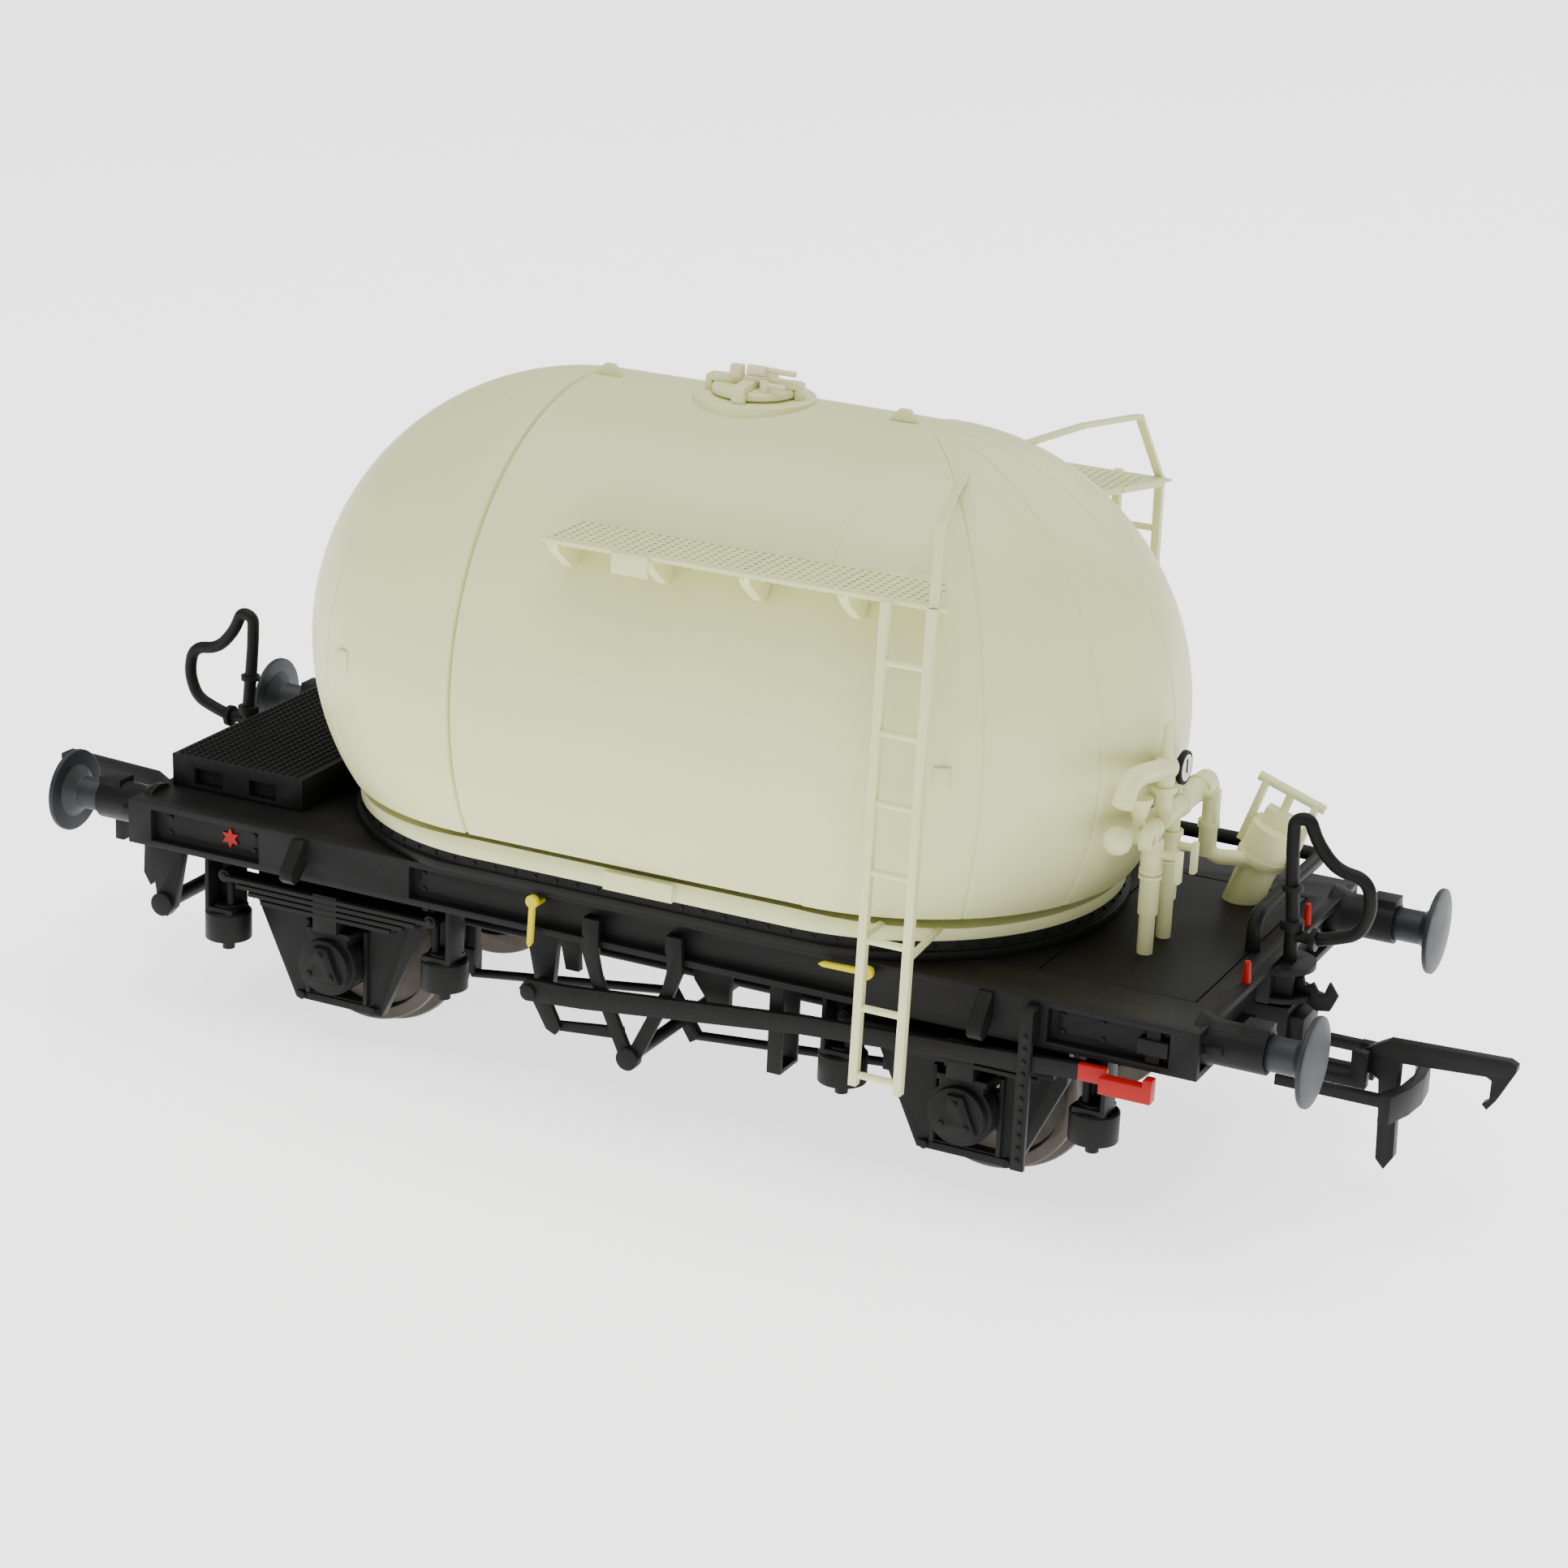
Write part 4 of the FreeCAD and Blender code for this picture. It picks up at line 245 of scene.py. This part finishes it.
def alone(piece):
    """Selects one piece and nothing else, out of edit mode."""
    if bpy.context.mode != "OBJECT":
        bpy.ops.object.mode_set(mode="OBJECT")
    bpy.ops.object.select_all(action="DESELECT")
    piece.select_set(True)
    bpy.context.view_layer.objects.active = piece


def apply_all(piece):
    """Makes all of a piece's modifiers part of its mesh."""
    alone(piece)
    for modifier in list(piece.modifiers):
        bpy.ops.object.modifier_apply(modifier=modifier.name)


def stand_in(piece, node, smooth):
    """Smooths a piece, paints it and puts it in its node's place."""
    alone(piece)
    bpy.ops.object.shade_smooth_by_angle(angle=math.radians(smooth))
    piece.data.materials.clear()
    piece.data.materials.append(FINISHES[slots[node]])
    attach(piece, bodies[node])
    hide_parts(node)


def keep_shape(node, name, edge=BROKEN_EDGE, smooth=SMOOTH_ANGLE):
    """A finished copy of a machined piece that stands in its place."""
    shape = frame["nodes"][node].data.copy()
    piece = bpy.data.objects.new(name, shape)
    bpy.context.scene.collection.objects.link(piece)
    alone(piece)
    bpy.ops.object.mode_set(mode="EDIT")
    bpy.ops.mesh.select_all(action="SELECT")
    bpy.ops.mesh.remove_doubles(threshold=MERGE_WITHIN)
    bpy.ops.mesh.dissolve_limited(angle_limit=math.radians(FLAT_WITHIN))
    bpy.ops.object.mode_set(mode="OBJECT")
    if edge:
        bevel = piece.modifiers.new("broken_edges", "BEVEL")
        bevel.width = edge
        bevel.segments = 2
        bevel.limit_method = "ANGLE"
        bevel.angle_limit = math.radians(SHARP_PAST)
        apply_all(piece)
    stand_in(piece, node, smooth)
    return piece


HAND_MADE = ["tank_body", "tank_end_cap", "walkway_far", "walkway_near", "end_box", "leaf_springs",
             "pressure_gauge", "brake_hoses", "release_handles", "lifting_lugs"]
for node in sorted(frame["nodes"]):
    if node not in HAND_MADE:
        keep_shape(node, node + "_finished")

# ---- Tank skins
# Two smooth plastic mouldings, glued at a joint near the left dome. Fine engraved seams run down
# each dome and one circles the tank at the right, like the plates of the real vessel. The hatch
# stands on a plain ring on the crown.
TANK_RADIUS = 18.77 * MM
DOME = 12.57 * MM
CENTRE = 28.72 * MM
JOINT = -12.3 * MM
TRAY_LEVEL = 18.97 * MM
GROOVE = 0.1 * MM
GROOVE_HALF = 0.16 * MM
JOINT_DEPTH = 2.5 * GROOVE
SEAM_ANGLES = (0, 25.5, -25.5, 52, -52, 90, -90)
SEAM_START = 0.05 * MM
ON_LINE = 0.002 * MM
TOUCH = 0.001 * MM
HATCH_RADIUS = 4.15 * MM
HATCH_HEIGHT = 1.2 * MM
HATCH_LEVEL = 47.15 * MM
HATCH_RIM = 0.12 * MM


def pick(piece, test):
    """Selects the vertices whose place passes a test, and stays in edit mode."""
    alone(piece)
    bpy.ops.object.mode_set(mode="EDIT")
    bpy.ops.mesh.select_mode(type="VERT")
    bpy.ops.mesh.select_all(action="DESELECT")
    bpy.ops.object.mode_set(mode="OBJECT")
    for vertex in piece.data.vertices:
        vertex.select = test(vertex.co)
    bpy.ops.object.mode_set(mode="EDIT")


def slice_at(piece, x=None, z=None, keep=None):
    """Adds an edge ring on a plane. With keep, above or below, the other part is thrown away."""
    alone(piece)
    bpy.ops.object.mode_set(mode="EDIT")
    bpy.ops.mesh.select_all(action="SELECT")
    place, way = ((x, 0, 0), (1, 0, 0)) if z is None else ((0, 0, z), (0, 0, 1))
    bpy.ops.mesh.bisect(plane_co=place, plane_no=way, use_fill=keep is not None,
                        clear_inner=keep == "above", clear_outer=keep == "below")
    bpy.ops.object.mode_set(mode="OBJECT")


def join_to(piece, extras, finish):
    """Joins extra shapes into a piece. Those without a coat get the given finish."""
    for extra in extras:
        if not extra.data.materials:
            extra.data.materials.append(finish)
    alone(piece)
    for extra in extras:
        extra.select_set(True)
    bpy.ops.object.join()


bpy.ops.object.select_all(action="DESELECT")
bpy.ops.mesh.primitive_uv_sphere_add(segments=720, ring_count=64, radius=TANK_RADIUS,
                                     location=(0, 0, 0))
tank = bpy.context.object
tank.name = "tank_body_skin"
slice_at(tank, x=0.0)
pick(tank, lambda at: at.x < -TOUCH)
bpy.ops.mesh.delete(type="VERT")
bpy.ops.mesh.select_all(action="SELECT")
bpy.ops.transform.translate(value=(DOME, 0, CENTRE))
pick(tank, lambda at: at.x < DOME + TOUCH)
bpy.ops.mesh.extrude_region_move(TRANSFORM_OT_translate={"value": (-DOME, 0, 0)})
bpy.ops.object.mode_set(mode="OBJECT")
twin = tank.modifiers.new("left_half", "MIRROR")
twin.use_clip = True
twin.merge_threshold = TOUCH
apply_all(tank)
for seam_angle in SEAM_ANGLES:
    for way in (-1, 1):
        if abs(seam_angle) == 90 and way < 0:
            continue
        turn = math.radians(seam_angle)
        out = Vector((way * math.cos(turn), math.sin(turn), 0))
        side = Vector((-out.y, out.x, 0))

        def on_seam(at):
            arm = at - Vector((way * DOME, 0, CENTRE))
            return arm.dot(out) > SEAM_START and abs(arm.dot(side)) < ON_LINE

        pick(tank, on_seam)
        shrink = 1 - GROOVE / TANK_RADIUS
        bpy.ops.transform.resize(value=(shrink, shrink, shrink),
                                 center_override=(way * DOME, 0, CENTRE))
slice_at(tank, x=DOME - GROOVE_HALF)
slice_at(tank, x=JOINT - GROOVE_HALF)
slice_at(tank, x=JOINT + GROOVE_HALF)
slice_at(tank, z=TRAY_LEVEL, keep="above")
end_skin = tank.copy()
end_skin.data = tank.data.copy()
end_skin.name = "tank_end_cap_skin"
bpy.context.scene.collection.objects.link(end_skin)
slice_at(tank, x=JOINT, keep="above")
slice_at(end_skin, x=JOINT, keep="below")
for skin in (tank, end_skin):
    pick(skin, lambda at: abs(at.x - JOINT) < TOUCH)
    shrink = 1 - JOINT_DEPTH / TANK_RADIUS
    bpy.ops.transform.resize(value=(1, shrink, shrink), center_override=(JOINT, 0, CENTRE))
    bpy.ops.object.mode_set(mode="OBJECT")
bpy.ops.object.select_all(action="DESELECT")
bpy.ops.mesh.primitive_cylinder_add(vertices=96, radius=HATCH_RADIUS, depth=HATCH_HEIGHT,
                                    location=(0, 0, HATCH_LEVEL))
hatch_ring = bpy.context.object
rim = hatch_ring.modifiers.new("soft_rim", "BEVEL")
rim.width = HATCH_RIM
rim.segments = 3
apply_all(hatch_ring)
join_to(tank, [hatch_ring], cream)
for skin, node in ((tank, "tank_body"), (end_skin, "tank_end_cap")):
    alone(skin)
    bpy.ops.object.transform_apply(location=True, rotation=True, scale=True)
    stand_in(skin, node, SMOOTH_ANGLE)

# ---- Perforated walkways
# Each walkway is a thin etched sheet with rows of small round holes, on four folded brackets.
# Its outer edge is thinned from below.
HOLE_PITCH = 0.62 * MM
HOLE_RADIUS = 0.17 * MM
PUNCH_LENGTH = 1.0 * MM
HOLES_ALONG = 43
HOLES_ACROSS = 8
FIRST_HOLE_X = -5.0 * MM
FIRST_HOLE_Y = 14.2 * MM
SHEET_LEVEL = 41.2 * MM
THINNED_ALONG = (-8, 27)
THINNED_ACROSS = (18.53, 20.0)
THINNED_BETWEEN = (40.0, 41.1)


def slab(low, high, edge=0.0):
    """A plain block between two corners, in millimetres, with rounded edges if asked."""
    low, high = Vector(low) * MM, Vector(high) * MM
    bpy.ops.object.select_all(action="DESELECT")
    bpy.ops.mesh.primitive_cube_add(size=1, location=(low + high) / 2)
    block = bpy.context.object
    block.dimensions = high - low
    bpy.ops.object.transform_apply(location=True, scale=True)
    if edge:
        soft = block.modifiers.new("soft_edges", "BEVEL")
        soft.width = edge * MM
        soft.segments = 2
        apply_all(block)
    return block


def repeat(piece, counts, steps):
    """Rows of copies of a piece along X and Y."""
    for count, step in zip(counts, steps):
        row = piece.modifiers.new("row", "ARRAY")
        row.use_relative_offset = False
        row.use_constant_offset = True
        row.constant_offset_displace = step
        row.count = count
    apply_all(piece)


def cut_away(piece, cutter):
    """Cuts a shape out of a piece, and throws the cutter away."""
    cut = piece.modifiers.new("cut", "BOOLEAN")
    cut.object = cutter
    cut.operation = "DIFFERENCE"
    cut.solver = "EXACT"
    apply_all(piece)
    bpy.data.objects.remove(cutter)


for side_name, way in (("far", 1), ("near", -1)):
    deck = keep_shape(f"walkway_{side_name}", f"walkway_{side_name}_finished", edge=0)
    bpy.ops.object.select_all(action="DESELECT")
    bpy.ops.mesh.primitive_cylinder_add(
        vertices=10, radius=HOLE_RADIUS, depth=PUNCH_LENGTH,
        location=(FIRST_HOLE_X, way * FIRST_HOLE_Y, SHEET_LEVEL))
    punch = bpy.context.object
    bpy.ops.object.transform_apply(location=True)
    repeat(punch, (HOLES_ALONG, HOLES_ACROSS), ((HOLE_PITCH, 0, 0), (0, way * HOLE_PITCH, 0)))
    cut_away(deck, punch)
    y_low, y_high = sorted(way * y for y in THINNED_ACROSS)
    cut_away(deck, slab((THINNED_ALONG[0], y_low, THINNED_BETWEEN[0]),
                        (THINNED_ALONG[1], y_high, THINNED_BETWEEN[1])))

# ---- End box
# A black moulded box with a studded tread-plate top stands over the left end of the deck. The
# studs are small blunt cones in straight rows.
STUD_PITCH = 0.57 * MM
STUD_ROWS = (18, 40)
STUD_HEIGHT = 0.2 * MM
STUD_FOOT = 0.2 * MM
STUD_TIP = 0.12 * MM
FIRST_STUD = (-38.6 * MM, -11.1 * MM, 18.47 * MM)

tread_box = keep_shape("end_box", "end_box_finished")
bpy.ops.object.select_all(action="DESELECT")
bpy.ops.mesh.primitive_cone_add(vertices=8, radius1=STUD_FOOT, radius2=STUD_TIP,
                                depth=STUD_HEIGHT, location=FIRST_STUD)
studs = bpy.context.object
bpy.ops.object.transform_apply(location=True)
repeat(studs, STUD_ROWS, ((STUD_PITCH, 0, 0), (0, STUD_PITCH, 0)))
join_to(tread_box, [studs], black)

# ---- Leaf springs
# Black mouldings of four-leaf springs, one outside each wheel. The edge of every leaf stands
# out, a hair apart from the next, and each leaf is shorter than the one above it.
AXLE_PLACE = 24
LEAF_COUNT = 4
TOP_LEAF_HALF = 8.3
LEAF_SHORTER_BY = 1.0
TOP_LEAF_LEVEL = 11.7
LEAF_PITCH = 0.42
LEAF_LOWER_FACE = 0.36
LEAF_UPPER_FACE = 0.04
LEAF_BACK = 15.0
LEAF_FRONT = 15.34
LEAF_EDGE = 0.05

springs = keep_shape("leaf_springs", "leaf_springs_finished")
leaves = []
for end in (-1, 1):
    for way in (-1, 1):
        for i in range(LEAF_COUNT):
            half = TOP_LEAF_HALF - LEAF_SHORTER_BY * i
            top = TOP_LEAF_LEVEL - LEAF_PITCH * i
            y_low, y_high = sorted((way * LEAF_BACK, way * LEAF_FRONT))
            leaves.append(slab((end * AXLE_PLACE - half, y_low, top - LEAF_LOWER_FACE),
                               (end * AXLE_PLACE + half, y_high, top - LEAF_UPPER_FACE),
                               edge=LEAF_EDGE))
join_to(springs, leaves, black)

# ---- Lifting lugs
# Moulded tabs for the slings: two broad thin ones on the crown, and small square ones on the
# domes. The crown's are drawn out along the tank and thinned across it.
CROWN_LUG_PLACE = 11 * MM
CROWN_LUG_LEVEL = 47.4 * MM
CROWN_LUG_REACH = 1.5 * MM
CROWN_LEVEL = 46 * MM
LUG_STRETCH = (1.4, 0.6, 1)


def on_crown_lug(at):
    return abs(at.x - way * CROWN_LUG_PLACE) < CROWN_LUG_REACH and at.z > CROWN_LEVEL


lugs = keep_shape("lifting_lugs", "lifting_lugs_finished")
for way in (-1, 1):
    pick(lugs, on_crown_lug)
    bpy.ops.transform.resize(value=LUG_STRETCH,
                             center_override=(way * CROWN_LUG_PLACE, 0, CROWN_LUG_LEVEL))
    bpy.ops.object.mode_set(mode="OBJECT")

# ---- Pressure gauge
# A small black case on the header pipe, with a silvered dial and a needle, facing the pipework
# end.
DIAL_RADIUS = 0.9 * MM
DIAL_THICKNESS = 0.2 * MM
DIAL_PLACE = (32.42 * MM, -0.45 * MM, 27.6 * MM)
NEEDLE_LOW = (32.5, -0.52, 27.25)
NEEDLE_HIGH = (32.56, -0.38, 28.2)

gauge = keep_shape("pressure_gauge", "pressure_gauge_finished")
bpy.ops.object.select_all(action="DESELECT")
bpy.ops.mesh.primitive_cylinder_add(vertices=48, radius=DIAL_RADIUS, depth=DIAL_THICKNESS,
                                    rotation=(0, math.pi / 2, 0), location=DIAL_PLACE)
dial = bpy.context.object
bpy.ops.object.transform_apply(location=True, rotation=True)
dial.data.materials.append(bright_steel)
needle = slab(NEEDLE_LOW, NEEDLE_HIGH)
join_to(gauge, [dial, needle], black)

# ---- Brake hoses
# Flexible moulded hoses, one at each end, from the top of the standpipe to a clip near its foot.
# They are a little slimmer than their clips.
HOSE_SLIMMER_BY = 0.06 * MM

hoses = keep_shape("brake_hoses", "brake_hoses_finished", edge=0, smooth=60)
slim = hoses.modifiers.new("slimmer", "DISPLACE")
slim.mid_level = 0
slim.strength = -HOSE_SLIMMER_BY
apply_all(hoses)

# ---- Release handles
# Yellow moulded handles on the solebars, with a plain red six-point star in the left recess on
# each side.
STAR_POINTS = 6
STAR_RADIUS = 0.75 * MM
STAR_THICKNESS = 0.16 * MM
STAR_X = -31.9 * MM
STAR_Y = 14.98 * MM
STAR_Z = 14.45 * MM
STAR_INNER = 0.5

handles = keep_shape("release_handles", "release_handles_finished")


def between_points(at):
    """True for the corners of the disc that lie between two points of the star."""
    turn = math.degrees(math.atan2(at.z - STAR_Z, at.x - STAR_X))
    return round(turn / (180 / STAR_POINTS)) % 2 == 0


stars = []
for way in (-1, 1):
    bpy.ops.object.select_all(action="DESELECT")
    bpy.ops.mesh.primitive_cylinder_add(vertices=2 * STAR_POINTS, radius=STAR_RADIUS,
                                        depth=STAR_THICKNESS, rotation=(math.pi / 2, 0, 0),
                                        location=(STAR_X, way * STAR_Y, STAR_Z))
    star = bpy.context.object
    bpy.ops.object.transform_apply(location=True, rotation=True)
    pick(star, between_points)
    bpy.ops.transform.resize(value=(STAR_INNER, 1, STAR_INNER),
                             center_override=(STAR_X, way * STAR_Y, STAR_Z))
    bpy.ops.object.mode_set(mode="OBJECT")
    stars.append(star)
join_to(handles, stars, red)
